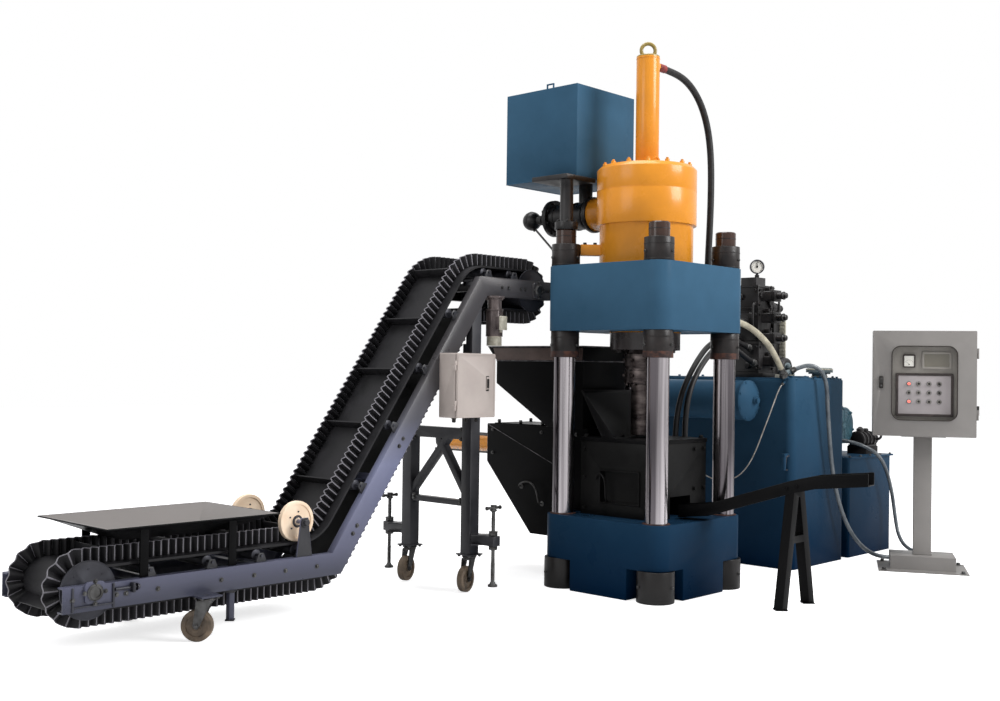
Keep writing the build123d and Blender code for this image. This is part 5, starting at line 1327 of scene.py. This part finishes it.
class BRIQUETTE_OT_cylinder_fittings(bpy.types.Operator):
    """Adds the cap's screws, the seams, the flange bolts, the tank's trim and the hose's sleeve"""

    bl_idname = "briquette.cylinder_fittings"
    bl_label = "Cylinder fittings"

    def execute(self, context):
        cap_screws = [(spoke(12 + 360 * step / 14) * 275 + UP * (CAP_TOP + 16), UP) for step in range(14)]
        dress(socket_screws(17, cap_screws), "cap_screws", "cylinder_yellow")
        seams = (
            (96, RING_TOP - 2, [(0, 318), (0, 320.6), (4, 320.6), (4, 318)]),
            (96, CROSSHEAD_TOP, [(0, 298), (0, 305), (8, 300.5), (8, 298)]),
            (72, CAP_TOP, [(0, 100), (0, 107), (9, 104), (9, 100)]),
            (48, CAP_TOP + 15, [(0, 73), (0, 86), (10, 79), (12, 73)]),
            (48, TUBE_TOP - 13, [(0, 73), (0, 76.4), (3, 76.4), (3, 73)]),
            (96, CROSSHEAD_BOTTOM - 6, [(0, 222), (0, 231), (6, 226), (6, 222)]),
        )
        rings = [ring(steps, sides, (0, 0, z)) for sides, z, steps in seams]
        dress(rings, "cylinder_seams", "cylinder_yellow")
        dress(screws(24, circle_places((0, 0, 1515), -UP, 182, 10)), "gland_bolts", "nut_brown")
        eye = ring([(0, 12.4), (0, 21), (7, 17), (10, 12.4)], 24, (0, 0, TUBE_TOP + 10))
        dress(eye, "eye_collar", "cylinder_yellow", finish("aged_brass"))

        # Bolts on the prefill valve's flanges, its rings, the ball's neck and the pilot pipe's nut
        parts = []
        for y, facing, radius in ((444, FAR, 104), (760, NEAR, 108), (790, FAR, 108)):
            parts += screws(19, circle_places((0, y, VALVE_Z), facing, radius, 8, 22))
        for y in (480, 560, 640, 720):
            parts.append(hoop(90, 96, 12, 48, (0, y, VALVE_Z), FAR))
        parts.append(ring([(0, 27), (0, 38), (22, 38), (24, 27)], 6, (0, 880, VALVE_Z), FAR))
        parts.append(hoop(65.2, 67, 5, 48, (0, 982.5, VALVE_Z), FAR))
        parts.append(spun([(0, 9), (18, 9), (20, 7)], 6, (-24, 948, 2355), (-0.5, -0.75, -0.45)))
        parts += screws(18, circle_places((-COLUMN, COLUMN, 2330), UP, 62, 6))
        dress(parts, "valve_bolts", "valve_black")

        # Tank trim: a filler cap, a strip down one side and the weld bead round the bottom
        low = [(x, y, 2636) for x, y in ((-299, 341), (309, 341), (309, 959), (-299, 959), (-299, 341))]
        trim = [
            spun([(0, 46), (10, 46), (10, 38), (26, 38), (32, 34)], 40, (150, 820, 3240)),
            block((26, 8, 330), 2, (310, 620, 2720), UP, FAR),
            *weld_bead(low, 6),
        ]
        dress(trim, "prefill_tank_trim", "machine_blue")
        corner = spoke(135)
        lock = screws(20, [(corner * distance + UP * 2187, UP) for distance in (330, 395)])
        dress(lock, "lock_bar_screws", "valve_black")

        # Red sleeve where the top hose starts, and crimped ferrules with nuts at the other ends
        sleeve = spun([(0, 25.5), (4, 26.5), (70, 26.5), (74, 24)], 32, (112, 0, 3365), AHEAD)
        dress(sleeve, "hose_sleeve", "hose_black", finish("red_sleeve"))
        ends = []
        for name, (diameter, _, slot, _, _, route) in HOSES.items():
            if slot not in ("hose_black", "hose_beige"):
                continue
            radius = diameter / 2
            wide, slim = radius + 9, radius + 3
            ferrule = [(-2, wide), (8, wide), (10, slim), (44, slim), (47, radius + 0.6)]
            nut = [(-24, radius + 6), (-22, radius + 11), (-4, radius + 11), (-2, radius + 6)]
            for first, second in ((route[0], route[1]), (route[-1], route[-2])):
                if (name, first) != ("top_hose", route[0]):
                    along = Vector(second) - Vector(first)
                    ends += [spun(ferrule, 28, first, along), spun(nut, 6, first, along)]
        dress(ends, "hose_ferrules", "jack_steel")
        return {"FINISHED"}


CHUTE_HEADING = 11
CHUTE_LINE = ((0, 476), (200, 500), (720, 672), (860, 706), (1165, 738))


class BRIQUETTE_OT_mould_fittings(bpy.types.Operator):
    """Adds the screws, hook and edges round the mould, the punch and the discharge chute"""

    bl_idname = "briquette.mould_fittings"
    bl_label = "Mould and chute fittings"

    def execute(self, context):
        sides = ((-285, BACK), (285, AHEAD))
        spots = [((x, y, z), facing) for y in (-252, 252) for z in (505, 700, 880) for x, facing in sides]
        spots += [((x, -285, z), NEAR) for x in (-252, -150, 150, 252) for z in (640, 890)]
        parts = screws(20, spots)
        parts += screws(24, [((x, y, MOULD_TOP), UP) for x in (-262, 262) for y in (-262, 262)])
        # Window frame and its hook
        window = ((-178, 548), (128, 548), (128, 752), (-178, 752), (-178, 548))
        parts += rods([(-288, y, z) for y, z in window], 9)
        hook = [
            (-286, 70, 560), (-304, 70, 560), (-304, 72, 690),
            (-304, 110, 735), (-300, 150, 715), (-300, 150, 690),
        ]  # fmt: skip
        parts.append(bent_bar(hook, 13))
        dress(parts, "mould_fittings", "mould_iron")

        cheeks = rods([(-283, 289, 1250), (283, 289, 1250)], 9)
        for x in (-280, 280):
            cheeks += rods([(x, 116, 956), (x, 288, 1250)], 9)
            cheeks += rods([(x, 24, 954), (x, 284, 1247)], 9)
        cheeks += screws(15, [((x, 108, MOULD_TOP), UP) for x in (-225, -75, 75, 225)])
        dress(cheeks, "funnel_edges", "sheet_black")

        punch = [hoop(127.5, 131, 10, 64, (0, 0, z)) for z in (1308, 1478)]
        punch.append(ring([(0, 84.5), (0, 96), (22, 96), (26, 84.5)], 48, (0, 0, 1274)))
        punch += socket_screws(20, circle_places((0, 0, 1300), -UP, 112, 8))
        around = [spoke(angle) for angle in range(0, 360, 60)]
        punch += screws(18, [(facing * 128 + UP * z, facing) for facing in around for z in (1350, 1450)])
        dress(punch, "punch_fittings", "ram_steel", body="ram_set")

        # Chute: rolled lips along both walls, trestle screws and foot plates
        ahead, side = spoke(CHUTE_HEADING - 90), -spoke(CHUTE_HEADING)
        start = Vector((0, -302, 0))
        parts = []
        for facing in (-side, side):
            parts += rods([start + ahead * run + facing * 62 + UP * (z + 72) for run, z in CHUTE_LINE], 8)
            spots = [start + ahead * run + facing * 65 + UP * z for run, z in ((690, 698), (750, 714))]
            parts += screws(14, [(spot, facing) for spot in spots])
        middle = start + ahead * 720
        for shift in (-159, 159):
            parts.append(block((78, 72, 5), 1.5, (middle.x + shift, middle.y, 0)))
        dress(parts, "chute_trim", "sheet_black")
        return {"FINISHED"}


class BRIQUETTE_OT_feed_fittings(bpy.types.Operator):
    """Adds the feed box's handle, hems and screws, the hopper's flanges and the cylinder's ties"""

    bl_idname = "briquette.feed_fittings"
    bl_label = "Feed box and hopper fittings"

    def execute(self, context):
        handle = [
            (-198, 873, 586), (-236, 873, 588), (-240, 840, 618), (-240, 770, 630),
            (-240, 712, 592), (-240, 690, 520), (-236, 686, 483), (-198, 686, 483),
        ]  # fmt: skip
        parts = [bent_bar(handle, 11)]
        for y, z in ((873, 586), (686, 483)):
            parts.append(spun([(0, 17), (3, 17), (5, 12)], 18, (-FEED_HALF, y, z), BACK))
        dress(parts, "feed_box_handle", "jack_steel")
        # Hems along the feed box's edges, pale as a painted highlight
        hems = rods([(-201, 1196, 996), (-201, 590, 754), (-201, 486, 712)], 5)
        hems += rods([(-198, 1198, FEED_RIDGE), (198, 1198, FEED_RIDGE)], 6)
        for x in (-199, 199):
            hems += rods([(x, 1198, 996), (x, 1198, 742)], 6)
            hems += rods([(x, 1198, FEED_EAVE), (x, 790, FEED_FLOOR)], 6)
        dress(hems, "feed_box_hems", "sheet_black", finish("rubbed_edge"))

        sides = ((-FEED_HALF, BACK), (FEED_HALF, AHEAD))
        heights = ((1150, 960), (1150, 800), (700, 960), (520, 960), (400, 960))
        parts = screws(15, [((x, y, z), facing) for y, z in heights for x, facing in sides])
        ties = [(x, z) for x in (-62, 62) for z in (784, 908)]
        spots = [((x, y, 1018), UP) for x in (-165, 165) for y in (720, 920, 1120)]
        parts += screws(19, spots + [((x, 1222, z), FAR) for x, z in ties])
        for x, z in ties:
            parts += rods([(x, 1222, z), (x, 1868, z)], 14)
        parts.append(ring([(0, 45), (0, 66), (26, 66), (28, 45)], 40, (0, 1836, 846), FAR))
        dress(parts, "feed_box_screws", "jack_steel")

        # Hopper: beads round the mouth and the joint, pale as a painted highlight, and the brown sheet of its
        # collar
        rims = []
        for low_x, high_x, low_y, high_y, z, bar in (
            (-210, 260, 335, 1165, 1536, 9),
            (-200, 250, 345, 1120, 1440, 8),
        ):
            loop = [(low_x, low_y, z), (high_x, low_y, z), (high_x, high_y, z), (low_x, high_y, z)]
            rims += rods(loop + loop[:1], bar)
        dress(rims, "hopper_rims", "sheet_black", finish("rubbed_edge"))
        skin = plate([(350, 1444), (1115, 1444), (1150, 1535), (341, 1535)], 1.5, 0.4)
        placed(skin, (-208.6, 0, 0), AHEAD, FAR)
        dress(skin, "hopper_collar_skin", "sheet_black", finish("hopper_collar_brown"))
        return {"FINISHED"}


class BRIQUETTE_OT_power_unit(bpy.types.Operator):
    """Adds the oil tank's covers, breather, level gauge and plugs, and the cooler's rings"""

    bl_idname = "briquette.power_unit"
    bl_label = "Oil tank and cooler"

    def execute(self, context):
        (near_x, far_x), (near_y, far_y) = TANK_X, TANK_Y
        # Clean-out covers on the tank's far end, the breather's pad, and the lid's screws and weld
        parts = []
        for y in (300, 920):
            parts.append(spun([(0, 178), (10, 178), (13, 172)], 56, (far_x, y, 620), AHEAD))
            parts += screws(17, circle_places((far_x + 12, y, 620), AHEAD, 158, 12))
        parts.append(placed(plate(rounded(250, 180, 70), 5, 1), (*BREATHER, TANK_TOP), UP, AHEAD))
        parts += screws(15, [((x, y, TANK_TOP + 5), UP) for x in (1830, 2018) for y in (-262, -138)])
        spots = [(x, y, TANK_TOP) for x in (1310, 1640, 1970) for y in (-320, 480, 860, 1200)]
        parts += screws(17, [(spot, UP) for spot in spots])
        low_x, high_x, low_y, high_y = near_x + 3, far_x - 3, near_y + 3, far_y - 3
        lid = [(low_x, low_y), (high_x, low_y), (high_x, high_y), (low_x, high_y)]
        for first, last in zip(lid, lid[1:] + lid[:1]):
            start, end = Vector((*first, TANK_TOP - 14)), Vector((*last, TANK_TOP - 14))
            shorter = (end - start).normalized() * 50
            parts.append(bent_bar([start + shorter, end - shorter], 8))
        dress(parts, "tank_covers", "machine_blue")

        cap = [(70, 60), (76, 88), (80, 97), (88, 99.5), (94, 96), (99, 80), (101, 40), (101, 10)]
        fittings = [
            spun(cap, 48, (*BREATHER, TANK_TOP - 24)),
            hoop(56, 60, 9, 40, (*BREATHER, TANK_TOP + 8)),
            ring([(0, 28), (0, 48), (10, 48), (12, 40), (30, 40), (32, 28)], 8, (1470, -200, TANK_TOP + 16)),
            ring([(0, 28), (0, 40), (20, 40), (22, 28)], 8, (1360, -200, TANK_TOP + 2)),
        ]
        dress(fittings, "breather_cap", "cable_white", finish("pale_fitting"))
        elbow = ((1470, 44), (1470, 78), (1452, 112), (1415, 118), (1378, 112), (1360, 78), (1360, 14))
        elbow = bent_bar([(x, -200, TANK_TOP + z) for x, z in elbow], 57, 6)
        dress(elbow, "return_elbow", "hose_black")

        # Cooler: rings round its shell, the screws of its ends and a port
        x, z = COOLER
        parts = [hoop(139, 144, 14, 64, (x, y, z), FAR) for y in (-98, -20, 720, 786)]
        for y, facing in ((-98, NEAR), (800, FAR)):
            parts += screws(15, circle_places((x, y, z), facing, 130, 8, 22))
        parts.append(spun([(0, 26), (14, 26), (14, 20), (34, 20)], 24, (x, -142, z), NEAR))
        dress(parts, "cooler_rings", "machine_blue")

        # A handle on the near end, the level gauge on the far one, a gland and the cable's plugs
        handle = [
            (1257, -330, 800), (1228, -330, 800), (1222, -328, 780),
            (1222, -322, 720), (1228, -320, 700), (1257, -320, 700),
        ]  # fmt: skip
        trim = [bent_bar(handle, 14), block((34, 24, 470), 4, (far_x + 12, 1130, 735), UP, FAR)]
        for z in (760, 1180):
            trim.append(placed(hexagon_screw(26, 18), (far_x + 1, 1130, z), AHEAD))
        dress(trim, "tank_level_gauge", "drum_steel")
        tube = block((16, 8, 360), 2, (far_x + 24, 1130, 790), UP, FAR)
        dress(tube, "level_gauge_glass", "cable_white", finish("gauge_glass"))
        gland = [(0, 30), (4, 30), (10, 26), (26, 21), (40, 19)]
        gland = spun(gland, 24, HOSES["tank_conduit"][-1][0], (0.6, -0.55, 0.4))
        dress(gland, "conduit_gland", "latch_black")
        cable = HOSES["sensor_cable"][-1]
        plugs = [
            spun([(0, 11), (16, 11), (18, 9), (22, 6)], 16, cable[-1], (-0.4, -0.6, -0.1)),
            spun([(0, 11), (14, 11), (20, 6)], 16, cable[0], (-0.6, 0.2, -0.5)),
        ]
        dress(plugs, "sensor_plugs", "latch_black")
        return {"FINISHED"}


# The valve blocks: bottom above the tank, middle and size in X and Y, and height
VALVE_BLOCKS = (
    (30, 1530, 150, 200, 260, 230),
    (260, 1540, 150, 180, 220, 240),
    (500, 1560, 140, 230, 200, 180),
)
# Pressure pipes round the blocks: diameter and points
VALVE_PIPES = (
    (20, [(1440, 230, 1500), (1392, 232, 1500), (1388, 234, 1560),
          (1388, 234, 1700), (1392, 232, 1760), (1445, 228, 1762)]),
    (16, [(1450, 60, 1690), (1410, 58, 1692), (1404, 58, 1730),
          (1404, 58, 1860), (1412, 58, 1892), (1450, 60, 1893)]),
    (16, [(1640, 40, 1800), (1662, 6, 1802), (1664, -8, 1840),
          (1664, -8, 1930), (1660, 6, 1962), (1640, 42, 1964)]),
)  # fmt: skip
VALVE_PLUGS = (
    ((1430, 190, 1640), BACK),
    ((1430, 110, 1430), BACK),
    ((1450, 100, 1800), BACK),
    ((1445, 180, 1940), BACK),
    ((1600, 40, 1900), NEAR),
    ((1480, 40, 1950), NEAR),
)


class BRIQUETTE_OT_valve_stack(bpy.types.Operator):
    """Adds the solenoids, plugs, screws, the pressure dial and the junction strip of the valve stack"""

    bl_idname = "briquette.valve_stack"
    bl_label = "Valve stack and gauge"

    def execute(self, context):
        parts, bolts = [], []
        for bottom, x, y, size_x, size_y, height in VALVE_BLOCKS:
            for level in (bottom + 10, bottom + height - 16):
                parts.append(block((size_x + 8, size_y + 8, 6), 1.5, (x, y, TANK_TOP + level), UP, AHEAD))
            for z in (TANK_TOP + bottom + 36, TANK_TOP + bottom + height - 36):
                for side in (-1, 1):
                    bolts.append(((x + side * (size_x / 2 - 18), y - size_y / 2, z), NEAR))
                    bolts.append(((x - size_x / 2, y + side * (size_y / 2 - 22), z), BACK))
        parts += socket_screws(20, bolts)
        # Solenoids: ribbed coils, caps, plugs and their cable glands
        cap = [(0, 27), (6, 30), (14, 30), (18, 22), (34, 20), (38, 14)]
        for level in (TANK_TOP + 120, TANK_TOP + 290, TANK_TOP + 440, TANK_TOP + 600):
            for y in (-66, -52, -38):
                parts.append(block((100, 6, 82), 2, (1540, y, level - 41), UP, AHEAD))
            parts.append(spun(cap, 28, (1540, -108, level), NEAR))
            parts.append(block((46, 40, 30), 4, (1540, 10, level + 36), UP, AHEAD))
            parts.append(spun([(0, 9), (16, 9), (22, 7)], 14, (1540, -8, level + 54), (0, -0.4, 0.9)))
        for y, z in ((60, TANK_TOP + 520), (190, TANK_TOP + 560), (130, TANK_TOP + 640)):
            for x in (1640, 1700):
                parts.append(hoop(37, 43, 14, 8, (x, y, z), AHEAD))
            parts.append(spun([(0, 24), (3, 26), (10, 26), (13, 18)], 24, (1788, y, z), AHEAD))
        for diameter, points in VALVE_PIPES:
            parts.append(bent_bar(points, diameter))
        for place, facing in VALVE_PLUGS:
            parts.append(spun([(0, 22), (3, 24), (16, 24), (19, 20)], 6, place, facing))
        parts.append(spun([(0, 14), (4, 17), (20, 17), (24, 12)], 6, (1560, 120, TANK_TOP + 742)))
        dress(parts, "valve_details", "valve_black")

        bezel = [(0, 45.5), (0, 52.5), (6, 54), (13, 53), (14, 47), (10, 45.5)]
        dress(ring(bezel, 48, GAUGE_PLACE, GAUGE_FACING), "gauge_bezel", "drum_steel")
        dial = spun([(0.2, 45.6), (1.2, 45.6)], 48, GAUGE_PLACE, GAUGE_FACING)
        dress(dial, "gauge_dial", "cable_white", finish("dial_white"))
        marks = []
        for step in range(31):
            out = spoke(225 - 9 * step, GAUGE_RIGHT, UP)
            width, length, radius = (0.9, 4.5, 39.8) if step % 5 else (1.6, 8, 38)
            centre = GAUGE_PLACE + out * radius + GAUGE_FACING * 1.1
            marks.append(block((width, length, 0.5), 0, centre, GAUGE_FACING, GAUGE_FACING.cross(out)))
        dress(marks, "gauge_marks", "needle_black")

        strip = [block((16, 148, 446), 2, (1745, 56, TANK_TOP + 16), UP, AHEAD)]
        for row in range(15):
            for x in (1735, 1755):
                strip.append(block((5, 132, 16), 1.2, (x, 56, TANK_TOP + 30 + row * 28), UP, AHEAD))
        dress(strip, "junction_strip", "cable_white", finish("pale_fitting"))
        return {"FINISHED"}


class BRIQUETTE_OT_pump_unit(bpy.types.Operator):
    """Adds the motor's fins, cowl and terminal box, the small tank's trim and the black pump"""

    bl_idname = "briquette.pump_unit"
    bl_label = "Pump motor and small tank"

    def execute(self, context):
        x, z = PUMP_MOTOR
        parts = []
        for step in range(28):
            out = spoke(360 * step / 28, AHEAD, UP)
            # No fins where the foot and the terminal box are
            if -0.72 <= out.z <= 0.9:
                foot = Vector((x, 55, z)) + out * 156
                parts.append(block((3.5, 350, 16), 0.8, foot, out, out.cross(FAR)))
        for y in (-142, 236):
            parts.append(hoop(155, 166, 12, 56, (x, y, z), FAR))
        for radius in (40, 62, 84, 106, 128):
            parts.append(hoop(radius - 3, radius, 2, 48, (x, -201, z), NEAR))
        for angle in range(0, 360, 45):
            out = spoke(angle, AHEAD, UP)
            parts.append(block((4, 2, 106), 0.5, Vector((x, -202, z)) + out * 20, out, FAR.cross(out)))
        parts += screws(17, circle_places((x, 270, z), FAR, 155, 8, 22))
        parts += screws(15, circle_places((x, -200, z), NEAR, 134, 6))
        parts.append(block((128, 158, 8), 2, (x, 60, 1194), UP, AHEAD))
        parts += socket_screws(12, [((x + dx, 60 + dy, 1202), UP) for dx in (-54, 54) for dy in (-68, 68)])
        dress(parts, "motor_fins", "motor_teal")

        top = SMALL_TANK_TOP
        parts = screws(15, [((x, y, top), UP) for x in (2115, 2290, 2450, 2620, 2790) for y in (-358, 258)])
        parts += screws(20, [((x, y, top), UP) for x in (2192, 2488) for y in (-60, 180)])
        dress(parts, "small_tank_screws", "jack_steel")
        trim = rods([(2098, -370, top - 9), (2802, -370, top - 9)], 7)
        trim += rods([(2812, -360, top - 9), (2812, 260, top - 9)], 7)
        dress(trim, "small_tank_trim", "machine_blue")

        pump = [hoop(60, 68, 14, 40, (x, *PUMP_AXIS), AHEAD) for x in (2540, 2600, 2660, 2720)]
        pump += screws(15, circle_places((2780, *PUMP_AXIS), AHEAD, 52, 6))
        pump.append(ring([(0, 38), (0, 46), (16, 46), (18, 38)], 8, (2806, *PUMP_AXIS), AHEAD))
        pump.append(block((190, 150, 14), 3, (2640, -200, 808), UP, AHEAD))
        pump.append(spun([(0, 26), (10, 30), (30, 30), (36, 20), (46, 12)], 28, (2600, -200, 916)))
        pump.append(spun([(0, 20), (10, 24), (26, 24), (32, 16)], 8, (2690, -200, 916)))
        outlet = [
            (2760, -262, 860), (2760, -292, 866), (2764, -300, 900),
            (2766, -292, 934), (2766, -230, 940),
        ]  # fmt: skip
        pump.append(bent_bar(outlet, 20))
        dress(pump, "transfer_pump", "valve_black")
        return {"FINISHED"}


def cabinet_point(across, depth, height):
    """A place on the cabinet: across its front from the middle, depth into it, and height."""
    return CABINET_PLACE + CABINET_X * across + CABINET_Y * depth + UP * height


def on_front(piece, middle, depth):
    """A piece on the cabinet's front, round a (across, height) middle."""
    across, height = middle
    return placed(piece, cabinet_point(across, depth, height), OUT, CABINET_X)


class BRIQUETTE_OT_control_cabinet(bpy.types.Operator):
    """Adds the cabinet's seal, panel, meter, display, lamps, buttons, hinges and glands"""

    bl_idname = "briquette.control_cabinet"
    bl_label = "Control cabinet"

    def execute(self, context):
        seal = rim_frame(rounded(444, 529, 65, 8), rounded(430, 515, 58, 8), 4, 1.2)
        on_front(seal, (0, 1320), DOOR_FACE - 2.6)
        dress(seal, "window_seal", "latch_black", finish("window_seal"), body="cabinet_lid")

        # Panel: dark frames, the button plate, the meter with its scale and needle, and the display
        panel_rim = rim_frame(rounded(386, 306, 10), rounded(352, 272, 6), 12, 1)
        meter_rim = rim_frame(rounded(84, 94, 8), rounded(66, 76, 4), 15, 1)
        on_front(panel_rim, BUTTON_PLATE, PANEL_FACE - 1)
        on_front(meter_rim, METER, PANEL_FACE - 1)
        dress([panel_rim, meter_rim], "panel_frames", "latch_black", finish("panel_frame_dark"))
        sheet = on_front(plate(rounded(351, 271, 5), 9.5, 0.6), BUTTON_PLATE, PANEL_FACE)
        dress(sheet, "button_plate", "panel_beige", finish("button_plate"))
        face = on_front(plate(rounded(65, 75, 3), 13, 0.4), METER, PANEL_FACE)
        dress(face, "meter_face", "cable_white", finish("dial_white"))
        pivot = cabinet_point(METER[0], PANEL_FACE - 13, METER[1] - 24)
        marks = []
        for step in range(11):
            out = spoke(150 - 12 * step, CABINET_X, UP)
            marks.append(block((1.2, 6, 0.5), 0, pivot + out * 32, OUT, OUT.cross(out)))
        out = spoke(135, CABINET_X, UP)
        marks.append(block((1.2, 30, 0.6), 0, pivot + out * 15, OUT, OUT.cross(out)))
        marks.append(spun([(0, 4), (2, 4)], 16, pivot, OUT))
        dress(marks, "meter_marks", "needle_black")
        case = rim_frame(rounded(196, 120, 8), rounded(168, 92, 4), 11, 1, start=7)
        dress(on_front(case, DISPLAY, PANEL_FACE - 1), "display_case", "panel_beige")
        screen = on_front(plate(rounded(166, 90, 3), 2, 0), DISPLAY, PANEL_FACE - 10.2)
        dress(screen, "display_screen", "panel_beige", finish("display_screen"))

        # Twelve lamps and buttons, each in its bezel, two of them lit
        bezels, dark_caps, lit = [], [], []
        for row, z in enumerate((1316, 1253, 1190)):
            for column, x in enumerate((-101, -36, 34, 102)):
                place = cabinet_point(x, PANEL_FACE - 9, z)
                bezels.append(ring([(0, 11), (0, 16.5), (4, 16.5), (6, 14), (6, 11)], 28, place, OUT))
                cap = spun([(2, 11.2), (9, 11.2), (11.5, 9), (12.5, 5)], 24, place, OUT)
                (lit if column == 0 and row != 1 else dark_caps).append(cap)
                if column == 3 and row < 2:
                    dark_caps.append(block((7, 24, 12), 2, place + OUT * 8, OUT, CABINET_X + UP * 0.5))
        dress(bezels, "lamp_bezels", "drum_steel")
        dress(dark_caps, "dark_buttons", "latch_black")
        dress(lit, "lit_lamps", "panel_beige", glow("lamp_red", srgb(255, 96, 84), 1.6))

        # Hinge caps, the latch's plate and key, the stand's bolts and plates, glands, the switch's plate
        caps = []
        for z in (1066, 1135.5, 1496, 1565.5):
            caps.append(spun([(0, 7.4), (2, 7.4), (3, 5.5)], 20, cabinet_point(353, -133, z)))
        dress(caps, "cabinet_hinge_caps", "cabinet_beige")
        latch = [
            on_front(plate(rounded(20, 34, 5), 3, 0.6), (-290, 1338), DOOR_FACE - 9.3),
            spun([(0, 7), (2.5, 7), (3, 6)], 24, cabinet_point(-290, DOOR_FACE - 9.3, 1300), OUT),
            block((2, 9, 1.2), 0.2, cabinet_point(-290, DOOR_FACE - 12.2, 1300), OUT, CABINET_X),
        ]
        dress(latch, "latch_face", "jack_steel", body="latch")
        bolts = [(cabinet_point(across, depth, 6), UP) for across in (-262, 262) for depth in (-200, 200)]
        dress(screws(24, bolts), "stand_bolts", "jack_steel")
        plates = [
            block((128, 108, 8), 1.5, cabinet_point(0, 0, 101), UP, CABINET_X),
            block((128, 108, 8), 1.5, cabinet_point(0, 0, 935), UP, CABINET_X),
            block((300, 180, 7), 2, cabinet_point(0, 0, 938), UP, CABINET_X),
        ]
        dress(plates, "stand_plates", "cabinet_beige")
        glands = []
        for route in (HOSES["tank_conduit"][-1], HOSES["cabinet_conduit"][-1]):
            along = Vector(route[-2]) - Vector(route[-1])
            steps = [(-6, 26), (6, 26), (10, 22), (26, 22), (32, 17)]
            glands.append(spun(steps, 8, route[-1], along))
        dress(glands, "conduit_glands", "latch_black")
        switch = placed(plate(rounded(78, 78, 8), 4, 1), cabinet_point(345.2, 0, 1130), CABINET_X, CABINET_Y)
        dress(switch, "switch_plate", "latch_black")
        return {"FINISHED"}


class BRIQUETTE_OT_starter_box(bpy.types.Operator):
    """Adds the starter box's seam, handle and glands, the gearmotor's fins and cover, and the leg bolts"""

    bl_idname = "briquette.starter_box"
    bl_label = "Starter box and gearmotor"

    def execute(self, context):
        left, right, low, high, front = STARTER
        width, height = right - left, high - low
        seam = rim_frame(rounded(width - 10, height - 10, 6), rounded(width - 22, height - 22, 5), 2, 0)
        placed(seam, ((left + right) / 2, front, (low + high) / 2), NEAR, AHEAD)
        dress(seam, "starter_door_seam", "starter_grey", body="starter_lid")
        lock = [
            placed(plate(rounded(17, 58, 4), 3, 0.6), (-980, 455.5, 1291.5), NEAR, AHEAD),
            spun([(0, 6), (3, 6), (4, 4)], 20, (-980, 455.5, 1252), NEAR),
        ]
        dress(lock, "starter_door_handle", "latch_black", body="starter_lid")
        pad = placed(plate(rounded(26, 92, 5), 1.5, 0.4), (-980, front, 1291.5), NEAR, AHEAD)
        dress(pad, "starter_handle_plate", "latch_black", body="starter_lid")
        gland = [(0, 15), (8, 15), (10, 12), (26, 12), (30, 8)]
        glands = [spun(gland, 8, (x, 545, low - 1), -UP) for x in (-1180, -1076, -990)]
        dress(glands, "starter_glands", "latch_black")

        x, y, top = MOTOR_X, MOTOR_Y, MOTOR_TOP
        motor = []
        for step in range(22):
            out = spoke(360 * step / 22)
            foot = Vector((x, y, top - 170)) + out * 46
            motor.append(block((3, 150, 7), 0.6, foot, out, out.cross(UP)))
        motor.append(hoop(44, 56, 10, 40, (x, y, top - 92)))
        motor.append(hoop(42, 54, 10, 40, (x, y, top - 254)))
        motor += screws(13, circle_places((x, y, top - 14), -UP, 53, 6))
        dress(motor, "gearmotor_fins", "motor_cream")
        cover = [
            block((68, 6, 88), 2, (x, y - 76, top - 214), UP, AHEAD),
            spun([(0, 9), (16, 9), (20, 6)], 14, (x, y - 55, top - 210), -UP),
            ring([(0, 44), (0, 48), (52, 48), (58, 40), (58, 30)], 40, (x, y, top - 312)),
        ]
        corners = [(x + dx, y - 79, top - 170 + dz) for dx in (-26, 26) for dz in (-34, 34)]
        cover += socket_screws(8, [(corner, NEAR) for corner in corners])
        dress(cover, "gearmotor_cover", "motor_cream", finish("pale_fitting"))

        heights = (540, 560, 940, 1000)
        bolts = [((LEG_X - 25, y, z), BACK) for y in (LEG_NEAR + 60, LEG_FAR - 60) for z in heights]
        dress(screws(17, bolts), "brace_bolts", "jack_steel")
        return {"FINISHED"}


class BRIQUETTE_PT_panel(bpy.types.Panel):
    """Lists the machine's settings and the operators that build it"""

    bl_idname = "BRIQUETTE_PT_panel"
    bl_label = "Briquetting machine"
    bl_space_type = "VIEW_3D"
    bl_region_type = "UI"
    bl_category = "Briquetting machine"

    def draw(self, context):
        for name in BriquettingMachineSettings.__annotations__:
            self.layout.prop(context.scene.briquetting_machine, name)
        for step in BUILD_STEPS:
            self.layout.operator(step.bl_idname)


BUILD_STEPS = (
    BRIQUETTE_OT_stage,
    BRIQUETTE_OT_hoses,
    BRIQUETTE_OT_shells,
    BRIQUETTE_OT_belt,
    BRIQUETTE_OT_conveyor_fittings,
    BRIQUETTE_OT_running_gear,
    BRIQUETTE_OT_press_fittings,
    BRIQUETTE_OT_cylinder_fittings,
    BRIQUETTE_OT_mould_fittings,
    BRIQUETTE_OT_feed_fittings,
    BRIQUETTE_OT_power_unit,
    BRIQUETTE_OT_valve_stack,
    BRIQUETTE_OT_pump_unit,
    BRIQUETTE_OT_control_cabinet,
    BRIQUETTE_OT_starter_box,
)
CLASSES = (BriquettingMachineSettings, *BUILD_STEPS, BRIQUETTE_PT_panel)


def register():
    for kind in CLASSES:
        bpy.utils.register_class(kind)
    bpy.types.Scene.briquetting_machine = PointerProperty(type=BriquettingMachineSettings)


def unregister():
    del bpy.types.Scene.briquetting_machine
    for kind in reversed(CLASSES):
        bpy.utils.unregister_class(kind)


def main():
    register()
    for step in BUILD_STEPS:
        group, name = step.bl_idname.split(".")
        if getattr(getattr(bpy.ops, group), name)() != {"FINISHED"}:
            raise RuntimeError(f"{step.bl_label} did not finish")
    clear_selection()


if __name__ == "__main__":
    main()
